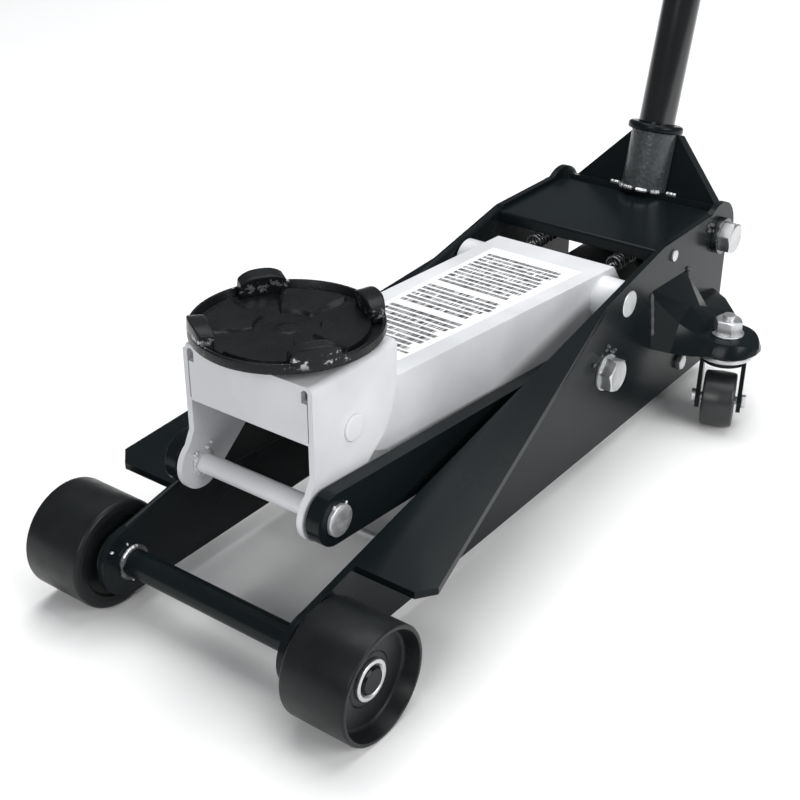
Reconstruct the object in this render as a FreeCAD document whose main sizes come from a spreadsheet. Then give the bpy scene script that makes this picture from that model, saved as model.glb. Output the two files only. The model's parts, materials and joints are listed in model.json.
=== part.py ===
import FreeCAD, Part
import math
import os
import Sketcher

# Hydraulic trolley jack, millimetres.
# Frame: +X to the saddle end, +Y to the jack's left, +Z up, floor at z = 0, mid-plane at y = 0.
# Every x below is measured from the front axle; axle_x then moves the whole jack along X.

doc = FreeCAD.newDocument("trolley_jack")
sheet = doc.addObject("Spreadsheet::Sheet", "dims")
V = FreeCAD.Vector
rows = []


class Size:
    """A length or angle that knows its number and its spreadsheet expression."""

    def __init__(self, value, text):
        self.value = float(value)
        self.text = text

    def _join(self, other, sign, value):
        return Size(value, f"({self.text} {sign} {as_size(other).text})")

    def __add__(self, other):
        return self._join(other, "+", self.value + as_size(other).value)

    def __sub__(self, other):
        return self._join(other, "-", self.value - as_size(other).value)

    def __mul__(self, other):
        return self._join(other, "*", self.value * as_size(other).value)

    def __truediv__(self, other):
        return self._join(other, "/", self.value / as_size(other).value)

    def __neg__(self):
        return Size(-self.value, f"(0 - {self.text})")

    def __radd__(self, other):
        return as_size(other) + self

    def __rsub__(self, other):
        return as_size(other) - self

    def __rmul__(self, other):
        return as_size(other) * self


def as_size(value):
    return value if isinstance(value, Size) else Size(value, repr(float(value)))


def dim(alias, value):
    """Add one driving dimension to the sheet and return it as a Size."""
    rows.append(alias)
    cell = f"B{len(rows)}"
    sheet.set(f"A{len(rows)}", alias)
    sheet.set(cell, repr(float(value)))
    sheet.setAlias(cell, alias)
    return Size(value, f"dims.{alias}")


# ---- driving dimensions ------------------------------------------------------------------
axle_x = dim("front_axle_x", 411.514)
wheel_r = dim("front_wheel_radius", 45)
wheel_in = dim("front_wheel_inner_face", 99)
wheel_out = dim("front_wheel_outer_face", 157)
hub_recess = dim("hub_recess_depth", 13)
axle_r = dim("front_axle_radius", 11)
axle_end = dim("front_axle_half_length", 148)

plate_out = dim("side_plate_outer_face", 92)
plate_wall = dim("side_plate_thickness", 6)
plate_bottom = dim("side_plate_bottom", 17)
nose_top = dim("side_plate_nose_top", 76.7)
flat_top = dim("side_plate_flat_top", 178.6)
flat_front = dim("side_plate_flat_front", -510)
plate_rear = dim("side_plate_rear", -650)
wing_front = dim("wing_front", -52)
wing_rear = dim("wing_rear", -405)
wing_out = dim("wing_outer_edge", 156)

arm_pivot_x = dim("arm_pivot_x", -449)
arm_pivot_z = dim("arm_pivot_height", 144.5)
arm_pivot_r = dim("arm_pivot_radius", 12.5)
arm_length = dim("arm_pivot_to_pin", 359.1)
arm_tilt = dim("arm_rest_angle", 4.472)
front_pin_x = dim("bracket_pin_x", -91)
front_pin_z = dim("bracket_pin_height", 172.5)
front_pin_r = dim("bracket_pin_radius", 8)
tie_shift_x = dim("tie_pivot_forward_of_arm", 38)
tie_drop = dim("tie_pivot_below_arm", 52.5)
tie_pin_r = dim("tie_pin_radius", 9)
tie_half = dim("tie_link_half_height", 21)
tie_in = dim("tie_link_inner_face", 63.5)
tie_wall = dim("tie_link_thickness", 12)

arm_wall = dim("arm_wall", 4)
arm_half_front = dim("arm_half_width_front", 51.5)
arm_half_rear = dim("arm_half_width_rear", 63)
ram_z = dim("ram_axis_height", 100)
ram_pin_x = dim("ram_pin_x", -461)
ram_pin_r = dim("ram_pin_radius", 8)
ram_pin_slack = dim("ram_pin_slack", 5)

bracket_out = dim("bracket_outer_face", 61)
bracket_wall = dim("bracket_wall", 5)
bracket_top = dim("bracket_top", 222)
bracket_front = dim("bracket_front", -47)
bracket_rear = dim("bracket_rear", -143)
flange_bottom = dim("bracket_flange_bottom", 176)

saddle_r = dim("saddle_radius", 71.5)
saddle_rim = dim("saddle_rim_height", 240)
stem_r = dim("saddle_stem_radius", 14)
saddle_behind_pin = dim("saddle_axis_behind_pin", 2)
saddle_gap = dim("saddle_above_bracket", 0.3)

yoke_x = dim("yoke_pivot_x", -630)
yoke_z = dim("yoke_pivot_height", 152)
yoke_r = dim("yoke_bolt_radius", 8)
yoke_half = dim("yoke_half_width", 80)
handle_lean = dim("handle_lean", 14.5)
socket_back = dim("socket_axis_behind_pivot", 6)
socket_r = dim("socket_outer_radius", 22.5)
socket_top = dim("socket_length_above_pivot", 92)
handle_r = dim("handle_outer_radius", 18)
handle_joint = dim("handle_joint_height", 430)
handle_top = dim("handle_length", 860)

king_x = dim("caster_kingpin_x", -557)
king_y = dim("caster_kingpin_offset", 143)
shelf_top = dim("caster_shelf_top", 88)
caster_r = dim("caster_wheel_radius", 27)
caster_half = dim("caster_wheel_half_width", 15)
caster_trail = dim("caster_trail", 18)
caster_turn = dim("caster_rest_turn", 20)

stretcher_x = dim("stretcher_x", -158)
stretcher_z = dim("stretcher_height", 26)
stretcher_r = dim("stretcher_radius", 4)
rivet_x = dim("cover_rivet_x", -530)
rivet_z = dim("cover_rivet_height", 164)
rivet_r = dim("cover_rivet_radius", 4)
frame_bolt_x = dim("frame_bolt_x", -567)
frame_bolt_z = dim("frame_bolt_height", 38)
frame_bolt_r = dim("frame_bolt_radius", 5)
tie_washer = dim("tie_washer_thickness", 2.5)
yoke_washer = dim("yoke_washer_thickness", 6)

unit_front = dim("power_unit_front", -572)
unit_rear = dim("power_unit_rear", -664)
tank_front = dim("reservoir_front", -505)
valve_x = dim("release_valve_x", -612)
pump_x = dim("pump_axis_x", -648)
pump_r = dim("pump_plunger_radius", 7)
barrel_r = dim("pump_barrel_radius", 12)
barrel_low = dim("pump_barrel_bottom", 66)
roller_z = dim("pump_roller_height", 158)
roller_r = dim("pump_roller_radius", 8)
roller_pin_r = dim("roller_pin_radius", 4)
plunger_top = dim("plunger_top_height", 149.7)
ram_bore_r = dim("ram_bore_radius", 20)
ram_rod_r = dim("ram_rod_radius", 13)
kingpin_r = dim("caster_kingpin_radius", 6)
caster_axle_r = dim("caster_axle_radius", 4)

fit = dim("running_clearance", 0.05)
gap = dim("face_clearance", 0.3)
doc.recompute()

plate_in = plate_out - plate_wall
tie_x = arm_pivot_x + tie_shift_x
tie_z = arm_pivot_z - tie_drop
tie_front_x = front_pin_x + tie_shift_x
tie_front_z = front_pin_z - tie_drop

nodes = {}


# ---- modelling helpers -------------------------------------------------------------------
def bind(obj, prop, size):
    obj.setExpression(prop, as_size(size).text)


def place(obj, x=0, y=0, z=0, axis=None, angle=0):
    """Put an object at (x, y, z), turned by angle degrees about axis."""
    turn = FreeCAD.Rotation(axis, as_size(angle).value) if axis else FreeCAD.Rotation()
    where = [as_size(value) for value in (x, y, z)]
    obj.Placement = FreeCAD.Placement(V(*[size.value for size in where]), turn)
    for letter, size in zip("xyz", where):
        bind(obj, f"Placement.Base.{letter}", size)
    if axis and isinstance(angle, Size):
        bind(obj, "Placement.Rotation.Angle", angle)
    return obj


def keep(label, obj):
    """Name a finished sub-part: its label is its node."""
    obj.Label = label
    nodes[label] = obj
    return obj


def cylinder(name, radius, length, x=0, y=0, z=0, along="z"):
    """A cylinder that starts at (x, y, z) and runs along +x, +y or +z."""
    obj = doc.addObject("Part::Cylinder", name)
    bind(obj, "Radius", radius)
    bind(obj, "Height", length)
    turns = {"z": (V(0, 0, 1), 0), "y": (V(1, 0, 0), -90), "x": (V(0, 1, 0), 90)}
    axis, angle = turns[along]
    return place(obj, x, y, z, axis, angle)


def block(name, low, high):
    """A box between two corners."""
    obj = doc.addObject("Part::Box", name)
    for prop, a, b in zip(("Length", "Width", "Height"), low, high):
        bind(obj, prop, as_size(b) - a)
    return place(obj, *low)


def hexagon(name, across_flats, height, x, y, z):
    """A hexagonal head or nut whose axis runs along +y."""
    obj = doc.addObject("Part::Prism", name)
    obj.Polygon = 6
    bind(obj, "Circumradius", as_size(across_flats) / math.sqrt(3))
    bind(obj, "Height", height)
    return place(obj, x, y, z, V(1, 0, 0), -90)


def fuse(name, *parts):
    obj = doc.addObject("Part::MultiFuse", name)
    obj.Shapes = list(parts)
    obj.Refine = True
    return obj


def cut(name, base, *tools):
    tool = tools[0] if len(tools) == 1 else fuse(name + "_tools", *tools)
    obj = doc.addObject("Part::Cut", name)
    obj.Base = base
    obj.Tool = tool
    obj.Refine = True
    return obj


def group(label, *parts):
    """Identical separate solids that share one node."""
    obj = doc.addObject("Part::Compound", label)
    obj.Links = list(parts)
    return keep(label, obj)


def mirror(name, source):
    """The same piece on the jack's right side."""
    obj = doc.addObject("Part::Mirroring", name)
    obj.Source = source
    obj.Base = V(0, 0, 0)
    obj.Normal = V(0, 1, 0)
    return obj


def both_sides(label, left):
    """Keep a left piece and its mirror image as two nodes."""
    keep(label + "_left", left)
    keep(label + "_right", mirror(label + "_mirror", left))


def pair(label, left):
    """Keep a left fastener and its mirror image as one node."""
    return group(label, left, mirror(label + "_mirror", left))


def body(name):
    return doc.addObject("PartDesign::Body", name)


def sketch(owner, name, plane, *loops, offset=0):
    """A sketch of closed loops. A loop is a list of (u, v) corners or one (u, v, radius)."""
    obj = owner.newObject("Sketcher::SketchObject", name)
    origin_plane = [f for f in owner.Origin.OriginFeatures if f.Role == plane][0]
    obj.AttachmentSupport = [(origin_plane, "")]
    obj.MapMode = "FlatFace"
    if isinstance(offset, Size) or offset:
        obj.AttachmentOffset = FreeCAD.Placement(V(0, 0, as_size(offset).value), FreeCAD.Rotation())
        bind(obj, "AttachmentOffset.Base.z", offset)
    for loop in loops:
        if isinstance(loop, tuple):
            add_circle(obj, *[as_size(value) for value in loop])
        else:
            add_polygon(obj, [(as_size(u), as_size(v)) for u, v in loop])
    return obj


def pin_point(obj, curve, end, u, v):
    """Fix one sketch point at (u, v) with two driving dimensions."""
    for kind, size in (("DistanceX", u), ("DistanceY", v)):
        index = obj.addConstraint(Sketcher.Constraint(kind, -1, 1, curve, end, size.value))
        obj.setExpression(f"Constraints[{index}]", size.text)


def add_circle(obj, u, v, radius):
    curve = obj.addGeometry(Part.Circle(V(u.value, v.value, 0), V(0, 0, 1), radius.value))
    pin_point(obj, curve, 3, u, v)
    index = obj.addConstraint(Sketcher.Constraint("Radius", curve, radius.value))
    obj.setExpression(f"Constraints[{index}]", radius.text)


def add_polygon(obj, corners):
    points = [V(u.value, v.value, 0) for u, v in corners]
    curves = []
    for a, b in zip(points, points[1:] + points[:1]):
        curves.append(obj.addGeometry(Part.LineSegment(a, b)))
    for a, b in zip(curves, curves[1:] + curves[:1]):
        obj.addConstraint(Sketcher.Constraint("Coincident", a, 2, b, 1))
    for curve, (u, v) in zip(curves, corners):
        pin_point(obj, curve, 1, u, v)


def pad(owner, profile, length, symmetric=True, reverse=False):
    obj = owner.newObject("PartDesign::Pad", profile.Name + "_pad")
    obj.Profile = profile
    bind(obj, "Length", length)
    if symmetric:
        obj.SideType = "Symmetric"
    obj.Reversed = reverse
    doc.recompute()
    return obj


def pocket(owner, profile, length, symmetric=True, reverse=False):
    before = owner.Shape.Volume
    obj = owner.newObject("PartDesign::Pocket", profile.Name + "_pocket")
    obj.Profile = profile
    bind(obj, "Length", length)
    if symmetric:
        obj.SideType = "Symmetric"
    obj.Reversed = reverse
    doc.recompute()
    if owner.Shape.Volume >= before - 1e-6:
        raise RuntimeError(f"{obj.Name} removes nothing")
    return obj


# ---- side plates with their outward wing flanges ------------------------------------------
def edge_height(x):
    """Height of a side plate's sloping top edge at x."""
    return nose_top + (flat_top - nose_top) * (as_size(x) / flat_front)


def side_plate():
    """Upright pressing whose sloping top edge is bent outward into a tapering wing."""
    plate = body("side_plate")
    place(plate, axle_x, plate_out - plate_wall / 2, 0)
    nose_r = (nose_top - plate_bottom) / 2
    nose_z = (nose_top + plate_bottom) / 2
    ear_r, through = 33, 500
    outline = [(0, plate_bottom), (plate_rear, plate_bottom), (plate_rear, yoke_z),
               (yoke_x, flat_top), (flat_front, flat_top), (0, nose_top)]
    pad(plate, sketch(plate, "plate_outline", "XZ_Plane", outline), plate_wall)
    pad(plate, sketch(plate, "plate_nose", "XZ_Plane", (0, nose_z, nose_r)), plate_wall)
    pad(plate, sketch(plate, "plate_ear", "XZ_Plane", (yoke_x, yoke_z, ear_r)), plate_wall)

    slab = [(wing_front, edge_height(wing_front)), (wing_rear, edge_height(wing_rear)),
            (wing_rear, edge_height(wing_rear) - plate_wall),
            (wing_front, edge_height(wing_front) - plate_wall)]
    root = plate_wall / 2
    outer = wing_out - plate_out + root
    pad(plate, sketch(plate, "wing_slab", "XZ_Plane", slab), outer, False, True)
    corner, margin = 12, 10
    trim = [(wing_front - corner, outer), (wing_rear, root), (wing_rear - margin, root),
            (wing_rear - margin, outer + margin), (wing_front + margin, outer + margin),
            (wing_front + margin, outer - corner), (wing_front, outer - corner)]
    pocket(plate, sketch(plate, "wing_taper", "XY_Plane", trim), through)

    holes = [(0, wheel_r, axle_r), (stretcher_x, stretcher_z, stretcher_r),
             (arm_pivot_x, arm_pivot_z, arm_pivot_r), (tie_x, tie_z, tie_pin_r),
             (yoke_x, yoke_z, yoke_r), (rivet_x, rivet_z, rivet_r),
             (frame_bolt_x, frame_bolt_z, frame_bolt_r)]
    pocket(plate, sketch(plate, "plate_holes", "XZ_Plane", *holes), plate_wall * 3)
    both_sides("side_plate", plate)


side_plate()


# ---- front axle, wheels and their retaining rings -----------------------------------------
def front_wheel():
    """Cast wheel turned from one section, with a shallow hollow inside and a deep one outside."""
    ring_out = wheel_r - 5
    edge, hub_r, hollow = 3, 20, 8
    turned = body("front_wheel")
    place(turned, axle_x, 0, wheel_r)
    profile = sketch(turned, "wheel_section", "YZ_Plane", [
        (wheel_in, axle_r + fit), (wheel_in, hub_r), (wheel_in + hollow, hub_r + edge),
        (wheel_in + hollow, ring_out - edge), (wheel_in, ring_out), (wheel_in, wheel_r - edge),
        (wheel_in + edge, wheel_r), (wheel_out - edge, wheel_r), (wheel_out, wheel_r - edge),
        (wheel_out, ring_out), (hub_face, ring_out - 2 * edge), (hub_face, axle_r + fit)])
    turn = turned.newObject("PartDesign::Revolution", "wheel_turn")
    turn.Profile = profile
    turn.ReferenceAxis = (profile, ["H_Axis"])
    turn.Angle = 360
    doc.recompute()
    both_sides("front_wheel", turned)


hub_face = wheel_out - hub_recess
front_wheel()
keep("front_axle", cylinder("axle_bar", axle_r, axle_end * 2, axle_x, -axle_end, wheel_r, "y"))


def ring(name, outer, inner, length, x, y, z, along="y"):
    """A plain tube or washer."""
    margin = 1
    start = {"x": x, "y": y, "z": z}
    start[along] = as_size(start[along]) - margin
    hole = cylinder(name + "_hole", inner, as_size(length) + 2 * margin, **start, along=along)
    return cut(name, cylinder(name + "_disc", outer, length, x, y, z, along), hole)


wheel_washer_r, wheel_spacer_r, thin_washer = 16, 17, 2.5
pair("wheel_washers", ring("wheel_washer", wheel_washer_r, axle_r, thin_washer, axle_x,
                           hub_face + gap, wheel_r))
pair("wheel_spacers", ring("wheel_spacer", wheel_spacer_r, axle_r, wheel_in - plate_out - gap,
                           axle_x, plate_out, wheel_r))

# ---- rods and cross members between the side plates ----------------------------------------
keep("stretcher_rod", cylinder("stretcher_bar", stretcher_r, plate_out * 2, axle_x + stretcher_x,
                               -plate_out, stretcher_z, "y"))
pivot_proud = 0.5
keep("arm_pivot_shaft", cylinder("pivot_bar", arm_pivot_r, (plate_out + pivot_proud) * 2,
                                 axle_x + arm_pivot_x, -plate_out - pivot_proud, arm_pivot_z, "y"))


def top_cover():
    """Folded bridge plate between the side plates, with a lip along its front edge."""
    sheet_wall = 4
    top_z = 174.5
    front, rear = -507, -628
    lip = 12
    cover = body("top_cover")
    place(cover, axle_x, 0, 0)
    outline = [(front, top_z), (rear, top_z), (rear, top_z - sheet_wall),
               (front - sheet_wall, top_z - sheet_wall), (front - sheet_wall, top_z - lip),
               (front, top_z - lip)]
    pad(cover, sketch(cover, "cover_section", "XZ_Plane", outline), plate_in * 2)
    keep("top_cover", cover)


def rear_cross_member():
    """Shallow channel that carries the power unit, bolted to both side plates."""
    front, rear = -548, -642
    floor_z, rise, wall = 24, 28, 4
    channel = body("rear_cross_member")
    place(channel, axle_x, 0, 0)
    outline = [(-plate_in, floor_z), (plate_in, floor_z), (plate_in, floor_z + rise),
               (plate_in - wall, floor_z + rise), (plate_in - wall, floor_z + wall),
               (-plate_in + wall, floor_z + wall), (-plate_in + wall, floor_z + rise),
               (-plate_in, floor_z + rise)]
    pad(channel, sketch(channel, "channel_section", "YZ_Plane", outline, offset=rear), front - rear, False)
    bolt_hole = sketch(channel, "channel_holes", "XZ_Plane", (frame_bolt_x, frame_bolt_z, frame_bolt_r))
    pocket(channel, bolt_hole, plate_in * 3)
    keep("rear_cross_member", channel)


top_cover()
rear_cross_member()


# ---- bolts through the side plates ----------------------------------------------------------
def hex_bolt(name, x, z, shank_r, inner_y, seat_y, across_flats, head):
    """Hex bolt whose head sits outside the left plate at seat_y and whose shank runs inward."""
    shank = cylinder(name + "_shank", shank_r, as_size(seat_y) - inner_y, axle_x + x, inner_y, z, "y")
    return fuse(name, shank, hexagon(name + "_head", across_flats, head, axle_x + x, seat_y, z))


big_flats, big_head = 28, 12
small_flats, small_head = 14, 5
tie_outer = tie_in + tie_wall
pair("tie_pivot_bolts", hex_bolt("tie_bolt", tie_x, tie_z, tie_pin_r, tie_in + gap, plate_out + tie_washer,
                                 big_flats, big_head))
pair("tie_bolt_washers", ring("tie_washer", 17, tie_pin_r, tie_washer, axle_x + tie_x, plate_out, tie_z))
pair("tie_spacers", ring("tie_spacer", 14, tie_pin_r, plate_in - tie_outer - gap, axle_x + tie_x,
                         tie_outer + gap, tie_z))
pair("yoke_pivot_bolts", hex_bolt("yoke_bolt", yoke_x, yoke_z, yoke_r, 70, plate_out + yoke_washer,
                                  big_flats, big_head))
pair("yoke_bolt_washers", ring("yoke_washer", 18, yoke_r, yoke_washer, axle_x + yoke_x, plate_out, yoke_z))
pair("frame_bolts", hex_bolt("frame_bolt", frame_bolt_x, frame_bolt_z, frame_bolt_r, 76, plate_out,
                             small_flats, small_head))
rivet_shank = cylinder("rivet_shank", rivet_r, plate_wall, axle_x + rivet_x, plate_in, rivet_z, "y")
rivet_head = cylinder("rivet_head", 5.5, 2.5, axle_x + rivet_x, plate_out, rivet_z, "y")
pair("cover_rivets", fuse("rivet", rivet_shank, rivet_head))


# ---- lift arm ---------------------------------------------------------------------------------
def crossed(name, side_view, plan_view):
    """The solid whose outline is side_view from the side and plan_view from above."""
    wide, tall = 200, 600
    pieces = []
    views = (("side", "XZ_Plane", side_view, wide), ("plan", "XY_Plane", plan_view, tall))
    for view, plane, outline, depth in views:
        piece = body(f"{name}_{view}")
        place(piece, axle_x, 0, 0)
        pad(piece, sketch(piece, f"{name}_{view}_outline", plane, outline), depth)
        pieces.append(piece)
    common = doc.addObject("Part::MultiCommon", name)
    common.Shapes = pieces
    return common


def lift_arm():
    """Pressed inverted channel that widens to the rear, with two inner lugs for the ram."""
    tip, knee, tail = as_size(-72), as_size(-470), as_size(-482)
    top_tip, slope = as_size(190.9), 0.0633
    top_knee = top_tip + slope * (knee - tip)
    side = [(tip, top_tip), (knee, top_knee), (tail, 150), (tail, 100), (-440, 91), (-162, 119), (tip, 156)]
    plan = [(tip, arm_half_front), (tip, -arm_half_front), (tail, -arm_half_rear), (tail, arm_half_rear)]
    outer = crossed("arm_outer", side, plan)

    rear_wall_low, below, beyond = 132, 60, 10
    hollow_side = [(tip - arm_wall, top_tip - arm_wall), (knee + 2, top_knee - arm_wall),
                   (tail + arm_wall, 149), (tail + arm_wall, rear_wall_low), (tail - beyond, rear_wall_low),
                   (tail - beyond, below), (tip - arm_wall, below)]
    front_half, rear_half = arm_half_front - arm_wall, arm_half_rear - arm_wall
    hollow_plan = [(tip + 1, front_half), (tip + 1, -front_half), (tail - beyond - 1, -rear_half),
                   (tail - beyond - 1, rear_half)]
    inner = crossed("arm_inner", hollow_side, hollow_plan)

    lug_inner, lug_wall, lug_r = 20, 8, 20
    lug_outline = [(-478, 150), (-466, 160.5), (-424, 163), (-432, 118), (-444, 92)]
    lugs = []
    for name, low in (("near", lug_inner), ("far", -lug_inner - lug_wall)):
        lug = body("arm_lug_" + name)
        place(lug, axle_x, low + lug_wall / 2, 0)
        pad(lug, sketch(lug, "lug_outline_" + name, "XZ_Plane", lug_outline), lug_wall)
        pad(lug, sketch(lug, "lug_eye_" + name, "XZ_Plane", (ram_pin_x, ram_z, lug_r)), lug_wall)
        lugs.append(lug)

    def across(name, radius, half, x, z):
        """A round bar through the arm, half to each side of its mid-plane."""
        return cylinder(name, radius, half * 2, axle_x + x, -half, z, "y")

    boss_r, boss_start, boss_end = 19, 55, 84.5
    boss = across("arm_boss", boss_r, boss_end, arm_pivot_x, arm_pivot_z)
    boss_gap = across("arm_boss_gap", boss_r + 1, boss_start, arm_pivot_x, arm_pivot_z)
    shell = cut("arm_shell", fuse("arm_with_boss", outer, boss), inner, boss_gap)
    solid = fuse("arm_with_lugs", shell, *lugs)
    bore = across("arm_bore", arm_pivot_r + fit, boss_end + 1, arm_pivot_x, arm_pivot_z)
    eye = across("arm_ram_eye", ram_pin_r + ram_pin_slack, 40, ram_pin_x, ram_z)
    pin_hole = across("arm_pin_hole", front_pin_r + fit, 65, front_pin_x, front_pin_z)
    keep("lift_arm", cut("lift_arm_solid", solid, bore, eye, pin_hole))


lift_arm()


# ---- saddle bracket ---------------------------------------------------------------------------
def saddle_bracket():
    """Channel with a top plate, a front flange and two side cheeks that end in round lobes."""
    lobe_r, notch = 22, 30
    saddle_hole_x = front_pin_x - saddle_behind_pin
    side = [(bracket_front, bracket_top), (bracket_rear, bracket_top), (bracket_rear, bracket_top - 32),
            (bracket_rear + 6, bracket_top - 56), (bracket_rear + 16, bracket_top - 71),
            (bracket_rear + 28, bracket_top - 80), (tie_front_x - 13.8, tie_front_z - 17.1),
            (tie_front_x, tie_front_z), (tie_front_x + lobe_r, tie_front_z),
            (bracket_front, tie_front_z + notch)]
    channel = body("saddle_bracket")
    place(channel, axle_x, 0, 0)
    pad(channel, sketch(channel, "bracket_outline", "XZ_Plane", side), bracket_out * 2)
    lobe = sketch(channel, "bracket_lobe", "XZ_Plane", (tie_front_x, tie_front_z, lobe_r))
    pad(channel, lobe, bracket_out * 2)
    flange_back = bracket_front - bracket_wall
    under_top = bracket_top - bracket_wall
    behind = -200
    inside = [(behind, 0), (0, 0), (0, flange_bottom), (flange_back, flange_bottom),
              (flange_back, under_top), (behind, under_top)]
    pocket(channel, sketch(channel, "bracket_inside", "XZ_Plane", inside), (bracket_out - bracket_wall) * 2)
    pins = [(front_pin_x, front_pin_z, front_pin_r), (tie_front_x, tie_front_z, tie_pin_r)]
    pocket(channel, sketch(channel, "bracket_pin_holes", "XZ_Plane", *pins), 200)
    stem_hole = sketch(channel, "bracket_stem_hole", "XY_Plane", (saddle_hole_x, 0, stem_r + fit))
    pocket(channel, stem_hole, 500)
    relief_r, relief_deep = 3, 14
    relief_y, relief_z = bracket_out - bracket_wall - 2, bracket_top - bracket_wall - 1
    reliefs = [(sign * relief_y, relief_z, relief_r) for sign in (1, -1)]
    corner_holes = sketch(channel, "bracket_reliefs", "YZ_Plane", *reliefs, offset=bracket_front)
    pocket(channel, corner_holes, relief_deep)
    keep("saddle_bracket", channel)


saddle_bracket()
cheek_in = bracket_out - bracket_wall
cross_r, cross_bore = 8, 5
keep("bracket_cross_tube", ring("cross_tube", cross_r, cross_bore, cheek_in * 2, axle_x + tie_front_x,
                                -cheek_in, tie_front_z))


def headed_pin(name, radius, start, seat_y, head_r, head, x, z):
    """Round pin from start out to seat_y, with a flat head beyond it."""
    return fuse(name, cylinder(name + "_shank", radius, seat_y - start, axle_x + x, start, z, "y"),
                cylinder(name + "_head", head_r, head, axle_x + x, seat_y, z, "y"))


pair("bracket_pins", headed_pin("bracket_pin", front_pin_r, 40, bracket_out, front_pin_r + 1.5, 2,
                                front_pin_x, front_pin_z))
pair("tie_front_pins", headed_pin("tie_pin", tie_pin_r, cheek_in, tie_outer + gap, 12, 4,
                                  tie_front_x, tie_front_z))


def tie_link():
    """Flat bar with round ends, drawn level and then tilted with the lift arm."""
    link = body("tie_link")
    place(link, axle_x + tie_x, tie_in + tie_wall / 2, tie_z, V(0, -1, 0), arm_tilt)
    flat = [(0, -tie_half), (arm_length, -tie_half), (arm_length, tie_half), (0, tie_half)]
    pad(link, sketch(link, "link_flat", "XZ_Plane", flat), tie_wall)
    for name, x in (("rear", 0), ("front", arm_length)):
        pad(link, sketch(link, "link_end_" + name, "XZ_Plane", (x, 0, tie_half)), tie_wall)
    holes = [(x, 0, tie_pin_r + fit) for x in (0, arm_length)]
    pocket(link, sketch(link, "link_holes", "XZ_Plane", *holes), tie_wall * 3)
    both_sides("tie_link", link)


tie_link()


# ---- saddle -----------------------------------------------------------------------------------
def saddle():
    """Round cast dish on a stem, with four gripping lugs on its rim."""
    under = bracket_top + saddle_gap
    dish = saddle_rim - 7
    turned = body("saddle_dish")
    place(turned, saddle_x, 0, 0)
    profile = sketch(turned, "saddle_section", "XZ_Plane", [
        (0, under), (42, under), (saddle_r, saddle_rim - 8), (saddle_r, saddle_rim),
        (saddle_r - 7, saddle_rim), (saddle_r - 10, saddle_rim - 6), (26, dish - 2), (24, dish), (0, dish)])
    turn = turned.newObject("PartDesign::Revolution", "saddle_turn")
    turn.Profile = profile
    turn.ReferenceAxis = (profile, ["V_Axis"])
    turn.Angle = 360
    doc.recompute()
    lug_long, lug_deep, lug_high = 13, 34, 17
    first_lug_angle = 58
    lugs = []
    for index in range(4):
        lug = block(f"saddle_lug_{index}", (0, 0, 0), (lug_long, lug_deep, lug_high))
        angle = first_lug_angle + 90 * index
        inner_corner = V(saddle_r.value - lug_long - 1, -lug_deep / 2, 0)
        corner = FreeCAD.Rotation(V(0, 0, 1), angle).multVec(inner_corner)
        place(lug, saddle_x + corner.x, corner.y, saddle_rim - 6, V(0, 0, 1), angle)
        lugs.append(lug)
    limit = cylinder("saddle_limit", saddle_r, 60, saddle_x, 0, saddle_rim - 30)
    trimmed = doc.addObject("Part::MultiCommon", "saddle_lugs")
    trimmed.Shapes = [fuse("saddle_lug_set", *lugs), limit]
    stem_low = 201
    stem = cylinder("saddle_stem_bar", stem_r, under - stem_low + 1, saddle_x, 0, stem_low)
    keep("saddle", fuse("saddle_solid", turned, trimmed, stem))


saddle_x = axle_x + front_pin_x - saddle_behind_pin
clip_r, clip_wall, clip_z = 19, 2.5, 206
saddle()
keep("saddle_clip", ring("clip_ring", clip_r, stem_r, clip_wall, saddle_x, 0, clip_z, "z"))


# ---- power unit -------------------------------------------------------------------------------
def power_unit():
    """Cast block with the pump bore, the valve bore and the rear end of the cylinder."""
    half, low, high = 38, 28, 116
    plug_y, plug_r, valve_r = 24, 6, 6
    casting = block("unit_block", (axle_x + unit_rear, -half, low), (axle_x + unit_front, half, high))
    pump_bore = cylinder("unit_pump_bore", barrel_r, 60, axle_x + pump_x, 0, barrel_low)
    valve_bore = cylinder("unit_valve_bore", valve_r, 50, axle_x + valve_x, 0, 76)
    oil_bore = cylinder("unit_filler_bore", plug_r, 20, axle_x + valve_x, plug_y, 100)
    keep("power_unit_block", cut("unit_casting", casting, pump_bore, valve_bore, oil_bore))
    keep("oil_filler_plug", fuse("filler_plug",
                                 cylinder("plug_thread", plug_r, 14, axle_x + valve_x, plug_y, high - 14),
                                 cylinder("plug_head", plug_r + 3, 4, axle_x + valve_x, plug_y, high)))
    barrel_high = 120
    keep("pump_barrel", ring("barrel_tube", barrel_r, pump_r + fit, barrel_high - barrel_low,
                             axle_x + pump_x, 0, barrel_low, "z"))
    key_high, key_wall, stem_top, stem_low = 136, 3, 126, 78
    stem = cylinder("valve_stem", valve_r - fit, stem_top - stem_low, axle_x + valve_x, 0, stem_low)
    key = block("valve_key", (axle_x + valve_x - key_wall, -8, stem_top),
                (axle_x + valve_x + key_wall, 8, key_high))
    keep("release_valve", fuse("valve", stem, key))


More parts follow.
